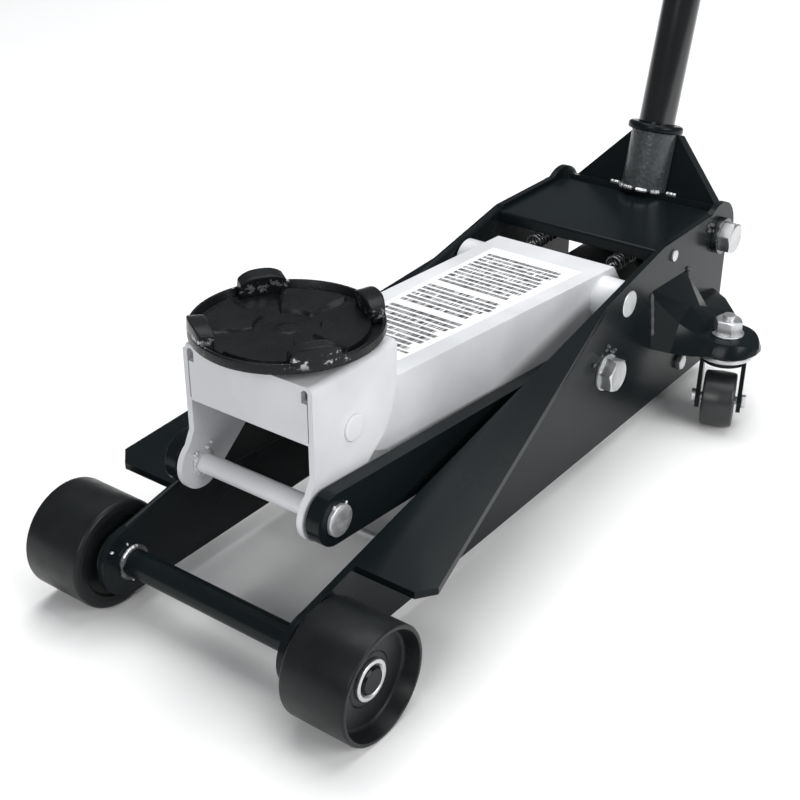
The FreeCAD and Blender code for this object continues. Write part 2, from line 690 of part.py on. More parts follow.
def cylinder_and_ram():
    """Hydraulic cylinder inside the round oil tank, its screwed head, and the ram with its cross pin."""
    cylinder_r, tank_r, tank_wall = 28, 42, 4
    head_wall, nut_r, nut_wall = 6, 24, 3
    length = tank_front - unit_front
    start = axle_x + unit_front
    keep("ram_cylinder", ring("cylinder_tube", cylinder_r, ram_bore_r, length, start, 0, ram_z, "x"))
    keep("oil_reservoir", ring("tank_tube", tank_r, tank_r - tank_wall, length, start, 0, ram_z, "x"))
    head = fuse("head_parts", cylinder("head_disc", tank_r, head_wall, axle_x + tank_front, 0, ram_z, "x"),
                cylinder("head_nut", nut_r, nut_wall, axle_x + tank_front + head_wall - 1, 0, ram_z, "x"))
    head_bore = cylinder("head_bore", ram_rod_r + fit, 20, axle_x + tank_front - 5, 0, ram_z, "x")
    keep("cylinder_head", cut("head_solid", head, head_bore))

    piston_back, piston_long = 14, 12
    rod_start = piston_back + piston_long
    eye_r, eye_half, pin_half = 15, 17, 31
    eye_back = ram_pin_x - eye_r + 1
    piston = cylinder("piston_disc", ram_bore_r - fit, piston_long, start + piston_back, 0, ram_z, "x")
    keep("ram_piston", piston)
    rod_long = eye_back - unit_front - rod_start
    rod = cylinder("rod_bar", ram_rod_r, rod_long, start + rod_start, 0, ram_z, "x")
    neck = block("eye_block", (axle_x + eye_back, -eye_half, ram_z - eye_r),
                 (axle_x + ram_pin_x, eye_half, ram_z + eye_r))
    eye = cylinder("eye_round", eye_r, eye_half * 2, axle_x + ram_pin_x, -eye_half, ram_z, "y")
    eye_hole = cylinder("eye_hole", ram_pin_r, 40, axle_x + ram_pin_x, -20, ram_z, "y")
    keep("ram_rod", cut("ram_rod_solid", fuse("ram_parts", rod, neck, eye), eye_hole))
    cross_pin = cylinder("ram_pin_bar", ram_pin_r, pin_half * 2, axle_x + ram_pin_x, -pin_half, ram_z, "y")
    keep("ram_pin", cross_pin)


power_unit()
cylinder_and_ram()
cap_wall, plunger_long = 4, 60
cap_low = plunger_top - cap_wall
keep("pump_plunger", fuse("plunger",
                          cylinder("plunger_bar", pump_r, plunger_long, axle_x + pump_x, 0,
                                   cap_low - plunger_long + 0.5),
                          cylinder("plunger_cap", 11, cap_wall, axle_x + pump_x, 0, cap_low)))


# ---- handle socket and yoke ---------------------------------------------------------------------
def tilted(obj, x, y, z):
    """Place a piece drawn along the handle's own axis: (x, y, z) in the yoke's leaning frame."""
    turn = FreeCAD.Rotation(V(0, -1, 0), handle_lean.value)
    moved = turn.multVec(V(as_size(x).value, as_size(y).value, as_size(z).value))
    pivot = V(axle_x.value + yoke_x.value, 0, yoke_z.value)
    obj.Placement = FreeCAD.Placement(moved + pivot, turn.multiply(obj.Placement.Rotation))
    bind(obj, "Placement.Base.x", axle_x + yoke_x + moved.x)
    bind(obj, "Placement.Base.z", yoke_z + moved.z)
    return obj


def leaning_bar(name, radius, low, high):
    """A round bar on the handle's axis between two heights above the yoke pivot."""
    bar = cylinder(name, radius, as_size(high) - low)
    return tilted(bar, -socket_back, 0, low)


def leaning_tube(name, outer, inner, low, high):
    return cut(name, leaning_bar(name + "_out", outer, low, high),
               leaning_bar(name + "_in", inner, as_size(low) - 1, as_size(high) + 1))


def yoke():
    """Two cheeks on the pivot bolts, a cross plate and a flanged triangular web behind the socket."""
    cheek_wall, cheek_r, base_z, base_wall = 6, 17, 20, 6
    web_wall, web_depth, web_top = 4, 15, 84.5
    web_x = -socket_back - 8
    cheeks = []
    for name, low in (("near", yoke_half - cheek_wall), ("far", -yoke_half)):
        cheek = body("yoke_cheek_" + name)
        tilted(cheek, 0, as_size(low) + cheek_wall / 2, 0)
        bind(cheek, "Placement.Base.y", as_size(low) + cheek_wall / 2)
        outline = [(-25, base_z + base_wall), (3, base_z + base_wall), (3, base_z), (10, 13), (16.5, 4),
                   (-16.5, -4), (-25, base_z)]
        pad(cheek, sketch(cheek, "cheek_outline_" + name, "XZ_Plane", outline), cheek_wall)
        pad(cheek, sketch(cheek, "cheek_round_" + name, "XZ_Plane", (0, 0, cheek_r)), cheek_wall)
        pocket(cheek, sketch(cheek, "cheek_hole_" + name, "XZ_Plane", (0, 0, yoke_r + fit)), cheek_wall * 3)
        cheeks.append(cheek)

    web = body("yoke_web")
    tilted(web, 0, 0, 0)
    triangle = [(-yoke_half, base_z), (yoke_half, base_z), (yoke_half, base_z + 4), (24, web_top),
                (-24, web_top), (-yoke_half, base_z + 4)]
    inset = web_wall + 1
    inside = [(-yoke_half + inset + 2, base_z - 1), (yoke_half - inset - 2, base_z - 1),
              (yoke_half - inset - 2, base_z + 4), (24 - inset, web_top - 5), (-24 + inset, web_top - 5),
              (-yoke_half + inset + 2, base_z + 4)]
    web_back = web_x - web_depth + web_wall
    pad(web, sketch(web, "web_triangle", "YZ_Plane", triangle, offset=web_back), web_depth, False)
    pocket(web, sketch(web, "web_hollow", "YZ_Plane", inside, offset=web_x), web_depth + 5, False)

    base_front, base_rear = 3, -27
    base = block("yoke_base", (0, 0, 0), (base_front - base_rear, yoke_half * 2, base_wall))
    tilted(base, base_rear, -yoke_half, base_z)
    bind(base, "Placement.Base.y", -yoke_half)
    socket = leaning_bar("yoke_socket_out", socket_r, base_z + base_wall - 0.5, socket_top)
    lug_wall, lug_in = 6, 12
    lugs = []
    for name, low in (("near", lug_in), ("far", -lug_in - lug_wall)):
        lug = body("roller_lug_" + name)
        place(lug, axle_x, low + lug_wall / 2, 0)
        corners = [(-656, 152), (-640, 152), (-634, 166), (-634, 172), (-659, 165)]
        pad(lug, sketch(lug, "roller_lug_outline_" + name, "XZ_Plane", corners), lug_wall)
        lugs.append(lug)
    solid = fuse("yoke_parts", web, base, socket, *cheeks, *lugs)
    socket_bore = leaning_bar("yoke_socket_in", handle_r + socket_slack, base_z + base_wall, socket_top + 1)
    knuckle_hole = leaning_bar("yoke_knuckle_hole", knuckle_r + 2, base_z - 5, base_z + base_wall + 1)
    pin_hole = cylinder("roller_pin_hole", roller_pin_r, 60, axle_x + pump_x, -30, roller_z, "y")
    keep("handle_yoke", cut("yoke_solid", solid, socket_bore, knuckle_hole, pin_hole))


def pump_roller():
    """Roller between the two lugs under the yoke, and its pin."""
    half, pin_half = 11, 20
    roller = ring("roller", roller_r, roller_pin_r + fit, half * 2, axle_x + pump_x, -half, roller_z)
    keep("pump_roller", roller)
    keep("roller_pin", cylinder("roller_pin_bar", roller_pin_r, pin_half * 2, axle_x + pump_x, -pin_half,
                                roller_z, "y"))


def handle():
    """Two-piece tube with a moulded grip, and the knuckle at its foot that turns the release valve."""
    low, upper_r, upper_bore, overlap = 27, 14.9, 12.5, 60
    grip_r, grip_long, cap_r, cap = 19, 134, 17, 6
    keep("handle_lower", leaning_tube("lower_tube", handle_r, upper_r + 0.1, low, handle_joint))
    end = handle_top - cap
    keep("handle_upper", leaning_tube("upper_tube", upper_r, upper_bore, handle_joint - overlap, end))
    keep("handle_grip", leaning_tube("grip", grip_r, upper_r, end - grip_long, end))
    keep("handle_end_cap", leaning_bar("end_cap", cap_r, end, handle_top))
    knuckle_low, plug_long = 19, 12
    plug = leaning_bar("knuckle_plug", upper_r + 0.1, low + 0.5, low + plug_long)
    stub = leaning_bar("knuckle_bar", knuckle_r, knuckle_low, low + 1)
    keep("release_knuckle", fuse("knuckle", plug, stub))


knuckle_r, socket_slack = 6, 0.08
yoke()
pump_roller()
collar_r, collar_long = 27.5, 8
collar_top = socket_top + 1
keep("socket_collar", leaning_tube("collar", collar_r, socket_r, collar_top - collar_long, collar_top))
handle()


# ---- rear casters -------------------------------------------------------------------------------
def caster_bracket():
    """Pressed shelf on the side plate, with a rim and a sloping web that carries the load."""
    rim, lobe_r = 13, 33
    shelf = body("caster_bracket")
    place(shelf, axle_x, 0, 0)
    outline = [(-634, plate_out), (-634, 112), (king_x - 22, king_y + 25),
               (king_x + 4, king_y + lobe_r - gap), (king_x + 30, king_y + 14), (-512, 112),
               (-500, plate_out)]
    pad(shelf, sketch(shelf, "shelf_outline", "XY_Plane", outline, offset=shelf_top - rim), rim, False)
    lobe = sketch(shelf, "shelf_lobe", "XY_Plane", (king_x, king_y, lobe_r), offset=shelf_top - rim)
    pad(shelf, lobe, rim, False)
    pan = [(-628, plate_out), (-628, 110), (king_x - 19, king_y + 20), (king_x + 3, king_y + 27),
           (king_x + 25, king_y + 11), (-518, 108), (-508, plate_out)]
    pocket(shelf, sketch(shelf, "shelf_pan", "XY_Plane", pan, offset=shelf_top - shelf_wall), 30, False)
    web = [(plate_out, shelf_top - 1), (plate_out + 34, shelf_top - 1), (plate_out + 30, shelf_top + 3),
           (plate_out, 134)]
    for name, x in (("front", -508), ("rear", -606)):
        pad(shelf, sketch(shelf, "shelf_web_" + name, "YZ_Plane", web, offset=x), shelf_wall, False)
    pocket(shelf, sketch(shelf, "shelf_king_hole", "XY_Plane", (king_x, king_y, kingpin_r)), 400)
    both_sides("caster_bracket", shelf)


def upright(name, radius, low, high):
    """A round piece on the left kingpin's axis between two heights."""
    return cylinder(name, radius, as_size(high) - low, axle_x + king_x, king_y, low)


def kingpin_stack():
    """Kingpin with its head below, the dished raceway under the shelf, and the nut on top."""
    nut_r, nut_high = 13.5, 16
    nut = doc.addObject("Part::Prism", "caster_nut")
    nut.Polygon = 6
    bind(nut, "Circumradius", nut_r)
    bind(nut, "Height", nut_high)
    place(nut, axle_x + king_x, king_y, shelf_top)
    nut_hole = upright("caster_nut_hole", kingpin_r, shelf_top - 5, shelf_top + nut_high + 5)
    pair("caster_nuts", cut("caster_nut_solid", nut, nut_hole))

    race_low, dish_r, dish_wall, neck_r = 66.5, 27, 5, 18
    race_stack = fuse("race_parts", upright("race_dish", dish_r, race_low, race_low + dish_wall),
                      upright("race_neck", neck_r, race_low + dish_wall, shelf_top - shelf_wall))
    pair("caster_races", cut("race_solid", race_stack, upright("race_hole", kingpin_r, 60, 100)))
    head_low, head_high, head_r, pin_top = 57.5, 60.5, 9, 107.5
    pair("caster_kingpins", fuse("kingpin", upright("kingpin_bar", kingpin_r, head_high - 1, pin_top),
                                 upright("kingpin_head", head_r, head_low, head_high)))


shelf_wall = 5
caster_bracket()
kingpin_stack()


def local(obj, x, y, z, side_axis=None, angle=0):
    """Place a piece in the left caster's own frame, whose x runs along the trail."""
    turn = FreeCAD.Rotation(V(0, 0, 1), caster_turn.value)
    moved = turn.multVec(V(x, y, 0))
    own = FreeCAD.Rotation(side_axis, angle) if side_axis else FreeCAD.Rotation()
    obj.Placement = FreeCAD.Placement(V(0, 0, 0), turn.multiply(own))
    bind(obj, "Placement.Base.x", axle_x + king_x + moved.x)
    bind(obj, "Placement.Base.y", king_y + moved.y)
    bind(obj, "Placement.Base.z", z)
    return obj


def caster():
    """Swivelling fork, its wheel and its axle."""
    trail, half = caster_trail.value, caster_half.value
    leg_in, leg_wall = 17.5, 4
    fork = body("caster_fork")
    local(fork, 0, 0, 0)
    crown_top, crown_r, crown_wall = 66.2, 22, 5
    crown = sketch(fork, "fork_crown", "XY_Plane", (0, 0, crown_r), offset=crown_top - crown_wall)
    pad(fork, crown, crown_wall, False)
    leg = [(-16, crown_top), (16, crown_top), (trail + 10, caster_r + 4), (trail + 10, caster_r - 7),
           (trail + 4, caster_r - 11), (trail - 7, caster_r - 11), (trail - 11, caster_r),
           (-18, crown_top - 6)]
    for name, low in (("left", leg_in), ("right", -leg_in - leg_wall)):
        pad(fork, sketch(fork, "fork_leg_" + name, "XZ_Plane", leg, offset=-low), leg_wall, False, True)
    pocket(fork, sketch(fork, "fork_king_hole", "XY_Plane", (0, 0, kingpin_r + fit)), 300)
    recess_low, recess_r = 40, 10
    recess = sketch(fork, "fork_king_recess", "XY_Plane", (0, 0, recess_r), offset=recess_low)
    pocket(fork, recess, crown_top - crown_wall + 0.8 - recess_low, False, True)
    pocket(fork, sketch(fork, "fork_axle_hole", "XZ_Plane", (trail, caster_r, caster_axle_r)), 100)
    both_sides("caster_fork", fork)

    def across(name, radius, low, high):
        """A round piece on the wheel's axis between two distances from the fork's mid-plane."""
        piece = doc.addObject("Part::Cylinder", name)
        bind(piece, "Radius", radius)
        bind(piece, "Height", high - low)
        return local(piece, trail, low, caster_r, V(1, 0, 0), -90)

    edge = 3.0
    rounded = doc.addObject("Part::Chamfer", "caster_tread_edges")
    rounded.Base = across("caster_tread", caster_r, -half, half)
    rounded.Edges = [(1, edge, edge), (3, edge, edge)]
    bore = across("caster_wheel_bore", caster_axle_r + fit, -half - 1, half + 1)
    both_sides("caster_wheel", cut("caster_wheel_solid", rounded, bore))

    leg_out, head_r, head = leg_in + leg_wall, 6.5, 4
    shank = across("caster_axle_bar", caster_axle_r, -leg_out - 3, leg_out + 3)
    heads = [across("caster_axle_head_left", head_r, leg_out, leg_out + head),
             across("caster_axle_head_right", head_r, -leg_out - head, -leg_out)]
    both_sides("caster_axle", fuse("caster_axle_solid", shank, *heads))


caster()


# ---- return springs -----------------------------------------------------------------------------
def return_spring(name, y):
    """Extension spring between the cylinder head and the arm's rear lug, as a wire helix."""
    coil_r, wire_r, pitch = 6.5, 1.2, 3.2
    start, end = -560, -496
    helix = Part.makeHelix(pitch, end - start, coil_r)
    first = V(coil_r, 0, 0)
    circle = Part.Wire(Part.makeCircle(wire_r, first, V(0, 1, pitch / (2 * math.pi * coil_r))))
    coil = Part.Wire(helix).makePipeShell([circle], True, True)
    spring = doc.addObject("Part::Feature", name)
    spring.Shape = coil
    along_x = FreeCAD.Rotation(V(0, 1, 0), 90)
    spring.Placement = FreeCAD.Placement(V(axle_x.value + start, y, spring_z), along_x)
    return spring


spring_z, spring_y = 152, 40
anchor_r, anchor_x = 4, -572
group("return_springs", return_spring("spring_near", spring_y), return_spring("spring_far", -spring_y))
keep("spring_anchor_rod", cylinder("anchor_bar", anchor_r, plate_in * 2, axle_x + anchor_x, -plate_in,
                                   spring_z, "y"))

# ---- check and write ----------------------------------------------------------------------------
doc.recompute()
for item in doc.Objects:
    if any(word in item.State for word in ("Invalid", "Error")):
        raise RuntimeError(f"{item.Name} failed: {item.State}")
os.makedirs("parts", exist_ok=True)
whole = FreeCAD.BoundBox()
for label, item in sorted(nodes.items()):
    shape = item.Shape
    if shape.isNull() or not shape.isValid() or not shape.Solids:
        raise RuntimeError(f"{label} has no valid solid")
    shape.exportStep(f"parts/{label}.step")
    whole.add(shape.BoundBox)
    print(f"{label:22s} solids {len(shape.Solids)} volume {shape.Volume / 1000:9.1f} cm3")
print(f"{len(nodes)} nodes, x {whole.XMin:.2f} {whole.XMax:.2f}, y {whole.YMin:.2f} {whole.YMax:.2f}, "
      f"z {whole.ZMin:.2f} {whole.ZMax:.2f}, centre x {whole.Center.x:.3f}")
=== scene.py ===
import json
import random
from itertools import product
from math import atan2, cos, degrees, pi, radians, sin, sqrt, tan

import bmesh
import bpy
from mathutils import Matrix, Vector


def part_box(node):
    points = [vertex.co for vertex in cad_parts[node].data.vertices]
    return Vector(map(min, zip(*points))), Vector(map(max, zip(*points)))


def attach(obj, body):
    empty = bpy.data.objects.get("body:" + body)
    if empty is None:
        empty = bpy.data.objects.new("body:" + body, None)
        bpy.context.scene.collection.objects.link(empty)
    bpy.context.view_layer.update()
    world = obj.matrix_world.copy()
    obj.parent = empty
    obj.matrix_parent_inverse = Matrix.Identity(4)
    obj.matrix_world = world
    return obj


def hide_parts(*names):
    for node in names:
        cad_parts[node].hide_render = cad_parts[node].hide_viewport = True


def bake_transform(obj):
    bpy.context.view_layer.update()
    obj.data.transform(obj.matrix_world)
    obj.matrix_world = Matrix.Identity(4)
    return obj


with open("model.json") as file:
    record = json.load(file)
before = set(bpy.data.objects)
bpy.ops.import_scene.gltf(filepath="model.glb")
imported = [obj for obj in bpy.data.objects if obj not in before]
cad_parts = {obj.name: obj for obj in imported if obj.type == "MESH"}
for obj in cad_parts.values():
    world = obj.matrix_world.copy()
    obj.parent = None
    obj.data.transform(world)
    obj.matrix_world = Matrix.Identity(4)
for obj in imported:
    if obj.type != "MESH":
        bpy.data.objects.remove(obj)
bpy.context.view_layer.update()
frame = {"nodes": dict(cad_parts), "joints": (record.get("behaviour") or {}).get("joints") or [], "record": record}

# Hydraulic trolley jack, in metres: +X to the saddle, +Y to the near side, +Z up. Lengths marked
# MM are millimetres. Places along X are measured from the front axle, as in the design.
MM = 0.001
NODE_SLOT = {part["node"]: part["material_slot"] for part in frame["record"]["subparts"]}
BODIES = frame["record"]["behaviour"]["bodies"]
NODE_BODY = {node: body for body, nodes in BODIES.items() for node in nodes}
JOINTS = {joint["name"]: joint for joint in frame["joints"]}
SHARP = radians(32)  # edges beyond this angle are corners
FLAT = radians(0.4)  # faces closer than this are one flat face
MERGE = 0.002 * MM  # vertices closer than this are one
ON_AXIS = 1e-7  # radii below this lie on a lathe's axis
PLATE_FACE = 92 * MM  # outer face of the side plates
BEND_SEGMENTS = 5
done_nodes = set()


def middle(node):
    low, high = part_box(node)
    return (low + high) / 2


AXLE = middle("front_axle")


def at(x, y, z):
    """A point given in millimetres from the front axle's middle, with z from the floor."""
    return Vector((AXLE.x + x * MM, y * MM, z * MM))


# ---- materials
class Graph:
    """One node material under construction, with short calls for the nodes it uses."""

    def __init__(self, name):
        self.material = bpy.data.materials.new(name)
        self.material.use_nodes = True
        self.tree = self.material.node_tree
        self.tree.nodes.clear()
        self.shader = self.add("ShaderNodeBsdfPrincipled")
        output = self.add("ShaderNodeOutputMaterial")
        self.join(self.shader.outputs["BSDF"], output.inputs["Surface"])
        self.place = self.add("ShaderNodeTexCoord").outputs["Object"]

    def add(self, kind, **inputs):
        node = self.tree.nodes.new(kind)
        for name, value in inputs.items():
            self.feed(node.inputs[name], value)
        return node

    def join(self, source, target):
        self.tree.links.new(source, target)

    def feed(self, socket, value):
        """Link a node output to a socket, or set a plain value on it."""
        if isinstance(value, bpy.types.NodeSocket):
            self.join(value, socket)
        else:
            socket.default_value = value

    def stretched(self, scale):
        return self.add("ShaderNodeMapping", Vector=self.place, Scale=scale).outputs["Vector"]

    def noise(self, scale, detail=3.0, rough=0.5, where=None):
        node = self.add("ShaderNodeTexNoise", Vector=where or self.place, Scale=scale,
                        Detail=detail, Roughness=rough)
        return node.outputs["Fac"]

    def cells(self, scale):
        node = self.add("ShaderNodeTexVoronoi", Vector=self.place, Scale=scale)
        return node.outputs["Distance"]

    def span(self, value, low, high, out_low, out_high):
        """Map low..high of value to out_low..out_high, clamped."""
        limits = {"From Min": low, "From Max": high, "To Min": out_low, "To Max": out_high}
        return self.add("ShaderNodeMapRange", Value=value, **limits).outputs["Result"]

    def math(self, operation, first, second=0.0):
        node = self.add("ShaderNodeMath")
        node.operation = operation
        self.feed(node.inputs[0], first)
        self.feed(node.inputs[1], second)
        return node.outputs["Value"]

    def blend(self, factor, first, second):
        """Mix two colours."""
        node = self.add("ShaderNodeMix")
        node.data_type = "RGBA"
        self.feed(node.inputs["Factor"], factor)
        for socket, value in ((node.inputs[6], first), (node.inputs[7], second)):
            self.feed(socket, value if isinstance(value, bpy.types.NodeSocket) else (*value, 1.0))
        return node.outputs[2]

    def mottle(self, noise, low, high, first, second):
        """Mix two colours by noise, from first at low to second at high."""
        return self.blend(self.span(noise, low, high, 0, 1), first, second)

    def drift(self, noise, centre, below, above):
        """A number that follows noise from centre - below to centre + above."""
        return self.span(noise, 0.3, 0.7, centre - below, centre + above)

    def attribute(self, name, output="Fac"):
        node = self.add("ShaderNodeAttribute")
        node.attribute_name = name
        return node.outputs[output]

    def bump(self, *layers):
        """Stack bump layers, each (height, strength, depth in metres), onto the surface normal."""
        normal = None
        for height, strength, depth in layers:
            node = self.add("ShaderNodeBump", Strength=strength, Distance=depth, Height=height)
            if normal:
                self.join(normal, node.inputs["Normal"])
            normal = node.outputs["Normal"]
        self.join(normal, self.shader.inputs["Normal"])

    def set(self, **values):
        for name, value in values.items():
            self.feed(self.shader.inputs[name.replace("_", " ")], value)
        return self.material


def scaled(colour, factor):
    return tuple(min(channel * factor, 1.0) for channel in colour)


def enamel(name, colour, roughness, peel, coat, specular):
    """Sprayed enamel: slow tone drift, orange peel and handling smudges."""
    graph = Graph(name)
    tone = graph.mottle(graph.noise(7, 4), 0.35, 0.65, scaled(colour, 0.86), scaled(colour, 1.16))
    smudge = graph.drift(graph.noise(22, 6, 0.65), roughness, 0.03, 0.05)
    graph.bump((graph.noise(420, 2), peel, 0.0004), (graph.noise(60, 3), peel * 0.7, 0.0008))
    return graph.set(Base_Color=tone, Roughness=smudge, Coat_Weight=coat, Coat_Roughness=0.12,
                     Specular_IOR_Level=specular)


def plated(name, colour, roughness, blotch):
    """Zinc plating: faint spangle, cloudy patches and fine handling scratches."""
    graph = Graph(name)
    cloud = graph.noise(90, 5, 0.6)
    tone = graph.mottle(cloud, 0.35, 0.7, scaled(colour, 1 - blotch), scaled(colour, 1.08))
    scratch = graph.noise(900, 2, 0.5, graph.stretched((1, 1, 0.08)))
    graph.bump((graph.noise(120, 3), 0.10, 0.0005), (scratch, 0.10, 0.0002))
    rough = graph.drift(graph.noise(130, 4), roughness, 0.08, 0.12)
    return graph.set(Base_Color=tone, Metallic=0.93, Roughness=rough)


def cast_iron(name, colour, roughness, grain, specular=0.5):
    """Painted casting: sandy skin with low swells, pits and a few rubbed spots."""
    graph = Graph(name)
    tone = graph.mottle(graph.noise(30, 5), 0.3, 0.7, scaled(colour, 0.75), scaled(colour, 1.3))
    spot = graph.span(graph.noise(210, 4, 0.7), 0.55, 0.60, 0, 1)
    chip = graph.math("MULTIPLY", spot, graph.attribute("wear"))
    pits = graph.span(graph.cells(420), 0.0, 0.5, 0, 1)
    graph.bump((graph.noise(55, 4), grain * 0.9, 0.0015),
               (graph.noise(650, 4, 0.65), grain, 0.0005), (pits, grain * 0.4, 0.0003))
    rough = graph.drift(graph.noise(45, 4), roughness, 0.07, 0.12)
    bare_iron = (0.45, 0.46, 0.47)
    return graph.set(Base_Color=graph.blend(chip, tone, bare_iron), Metallic=chip,
                     Roughness=rough, Coat_Weight=0.05, Coat_Roughness=0.25,
                     Specular_IOR_Level=specular)


def turned_steel(name, colour, roughness):
    """Ground or turned steel with fine rings across the bar and light oil."""
    graph = Graph(name)
    rings = graph.noise(1500, 2, 0.5, graph.stretched((0.15, 1, 0.15)))
    tone = graph.mottle(graph.noise(70, 5), 0.35, 0.7, scaled(colour, 0.8), scaled(colour, 1.1))
    graph.bump((rings, 0.12, 0.0002))
    rough = graph.drift(graph.noise(100, 3), roughness, 0.06, 0.1)
    return graph.set(Base_Color=tone, Metallic=0.95, Roughness=rough)


def moulded(name, colour, roughness, grain):
    """Moulded rubber or nylon with a fine matt grain."""
    graph = Graph(name)
    tone = graph.mottle(graph.noise(40, 4), 0.3, 0.7, scaled(colour, 0.8), scaled(colour, 1.3))
    graph.bump((graph.noise(1200, 3, 0.6), grain, 0.0003),
               (graph.noise(90, 3), grain * 0.4, 0.0008))
    rough = graph.drift(graph.noise(60, 4), roughness, 0.06, 0.08)
    return graph.set(Base_Color=tone, Roughness=rough)


def hammered(name, colour):
    """Painted tube skin with a rough, hammered look."""
    graph = Graph(name)
    dents = graph.span(graph.cells(210), 0.0, 0.6, 1, 0)
    tone = graph.mottle(graph.noise(240, 3), 0.4, 0.62, colour, scaled(colour, 1.4))
    graph.bump((dents, 0.5, 0.0007), (graph.noise(700, 3), 0.35, 0.0004))
    return graph.set(Base_Color=tone, Roughness=0.34, Coat_Weight=0.3, Coat_Roughness=0.2)


def weld_metal(name, colour, metallic):
    """Weld bead metal, uneven and slightly oxidised."""
    graph = Graph(name)
    tone = graph.mottle(graph.noise(260, 4), 0.38, 0.62, scaled(colour, 0.55), colour)
    graph.bump((graph.noise(500, 4, 0.6), 0.5, 0.0005))
    return graph.set(Base_Color=tone, Metallic=metallic, Roughness=0.36)


def printed_label(name):
    """White vinyl label with generic grey rows that stand for print; no letters."""
    graph = Graph(name)
    row_count, dashes_across = 32.0, 190.0
    dash_shift, row_shift = 7.31, 0.37  # how far the noise moves from one row to the next
    split = graph.add("ShaderNodeSeparateXYZ", Vector=graph.attribute("label_uv", "Vector"))
    along, across = split.outputs["X"], split.outputs["Y"]
    row = graph.math("MULTIPLY", along, row_count)
    row_index = graph.math("FLOOR", row)
    cell = graph.add("ShaderNodeCombineXYZ", X=graph.math("MULTIPLY", across, dashes_across),
                     Y=graph.math("MULTIPLY", row_index, dash_shift))
    band = graph.add("ShaderNodeCombineXYZ", X=graph.math("MULTIPLY", row_index, row_shift))
    row_noise = graph.noise(4.0, 0, 0.5, band.outputs["Vector"])
    row_end = graph.span(row_noise, 0.35, 0.65, 0.84, 0.96)
    ink = graph.math("GREATER_THAN", graph.math("FRACT", row), 0.34)
    for operation, value, limit in (
            ("GREATER_THAN", graph.noise(1.0, 1, 0.5, cell.outputs["Vector"]), 0.43),
            ("GREATER_THAN", graph.noise(1.6, 0, 0.5, band.outputs["Vector"]), 0.36),
            ("GREATER_THAN", across, 0.06), ("LESS_THAN", across, row_end),
            ("GREATER_THAN", along, 0.05), ("LESS_THAN", along, 0.95)):
        ink = graph.math("MULTIPLY", ink, graph.math(operation, value, limit))
    paper = graph.mottle(graph.noise(14, 3), 0.3, 0.7, (0.90, 0.905, 0.91), (0.95, 0.95, 0.955))
    return graph.set(Base_Color=graph.blend(ink, paper, (0.06, 0.064, 0.068)), Roughness=0.32,
                     Coat_Weight=0.25, Coat_Roughness=0.15)


BLACK = (0.0062, 0.0088, 0.0100)
MATERIALS = {
    "frame_paint": enamel("black_frame_enamel", BLACK, 0.23, 0.08, 0.05, 0.12),
    "arm_paint": enamel("light_grey_enamel", (0.68, 0.69, 0.71), 0.34, 0.08, 0.15, 0.5),
    "zinc": plated("zinc_plating", (0.66, 0.67, 0.68), 0.40, 0.14),
    "bright_steel": turned_steel("ground_steel", (0.60, 0.61, 0.62), 0.28),
    "wheel_iron": cast_iron("wheel_black", (0.0075, 0.0088, 0.0094), 0.36, 0.12, 0.22),
    "saddle_iron": cast_iron("saddle_black", (0.006, 0.0072, 0.0078), 0.27, 0.5, 0.18),
    "handle_paint": enamel("handle_gloss_black", (0.006, 0.007, 0.0078), 0.14, 0.03, 0.5, 0.5),
    "grip_rubber": moulded("grip_rubber", (0.012, 0.012, 0.013), 0.62, 0.3),
    "caster_nylon": moulded("caster_nylon", (0.015, 0.016, 0.017), 0.36, 0.12),
    "spring_wire": turned_steel("black_spring_wire", (0.17, 0.175, 0.18), 0.26),
    "cast_block": cast_iron("block_paint", (0.03, 0.031, 0.033), 0.42, 0.3),
}
SHAFT_END = plated("unpainted_shaft_end", (0.74, 0.75, 0.76), 0.44, 0.10)
# a lighter black than the frame enamel: painted sheen for the socket tube's highlight stripe; the dents are bump
SOCKET_SKIN_AND_SHEEN = hammered("hammered_socket_with_painted_sheen", (0.036, 0.041, 0.044))
# bare weld metal made pale enough to also paint the glints on glossy welds: partly painted highlight
BARE_WELD_AND_GLINT = weld_metal("bare_weld_and_painted_glint", (0.86, 0.87, 0.88), 0.75)
DARK_WELD = weld_metal("painted_weld", (0.11, 0.115, 0.12), 0.35)
GREY_WELD = weld_metal("grey_painted_weld", (0.68, 0.69, 0.71), 0.0)
LABEL = printed_label("printed_label")


# ---- mesh helpers
def new_object(name, bm, material, smooth=True):
    """Turn a bmesh into an object in the scene with one material."""
    mesh = bpy.data.meshes.new(name)
    bm.to_mesh(mesh)
    bm.free()
    if smooth:
        mesh.polygons.foreach_set("use_smooth", [True] * len(mesh.polygons))
    mesh.materials.append(material)
    item = bpy.data.objects.new(name, mesh)
    bpy.context.scene.collection.objects.link(item)
    return item


def finish_piece(name, bm, body, slot, material=None, replaces=(), weighted=True, wear=None,
                 sharp=SHARP):
    """Turn a bmesh into a piece that rides on a body; wear is a test for worn places."""
    bmesh.ops.recalc_face_normals(bm, faces=bm.faces)
    if wear:
        wear_layer = bm.verts.layers.float.new("wear")
        for vert in bm.verts:
            vert[wear_layer] = float(wear(vert.co))
    piece = new_object(name, bm, material or MATERIALS[slot])
    piece.data.set_sharp_from_angle(angle=sharp)
    if weighted:
        modifier = piece.modifiers.new("even_normals", "WEIGHTED_NORMAL")
        modifier.keep_sharp = True
    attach(piece, body)
    if replaces:
        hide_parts(*replaces)
        done_nodes.update(replaces)
    return piece


def clean(bm):
    """Join vertices in one place, and flat faces into single polygons."""
    bmesh.ops.remove_doubles(bm, verts=bm.verts, dist=MERGE)
    bmesh.ops.dissolve_limit(bm, angle_limit=FLAT, verts=bm.verts, edges=bm.edges)
    return bm


def around(count):
    """Angles of count even steps round a circle."""
    return [2 * pi * step / count for step in range(count)]


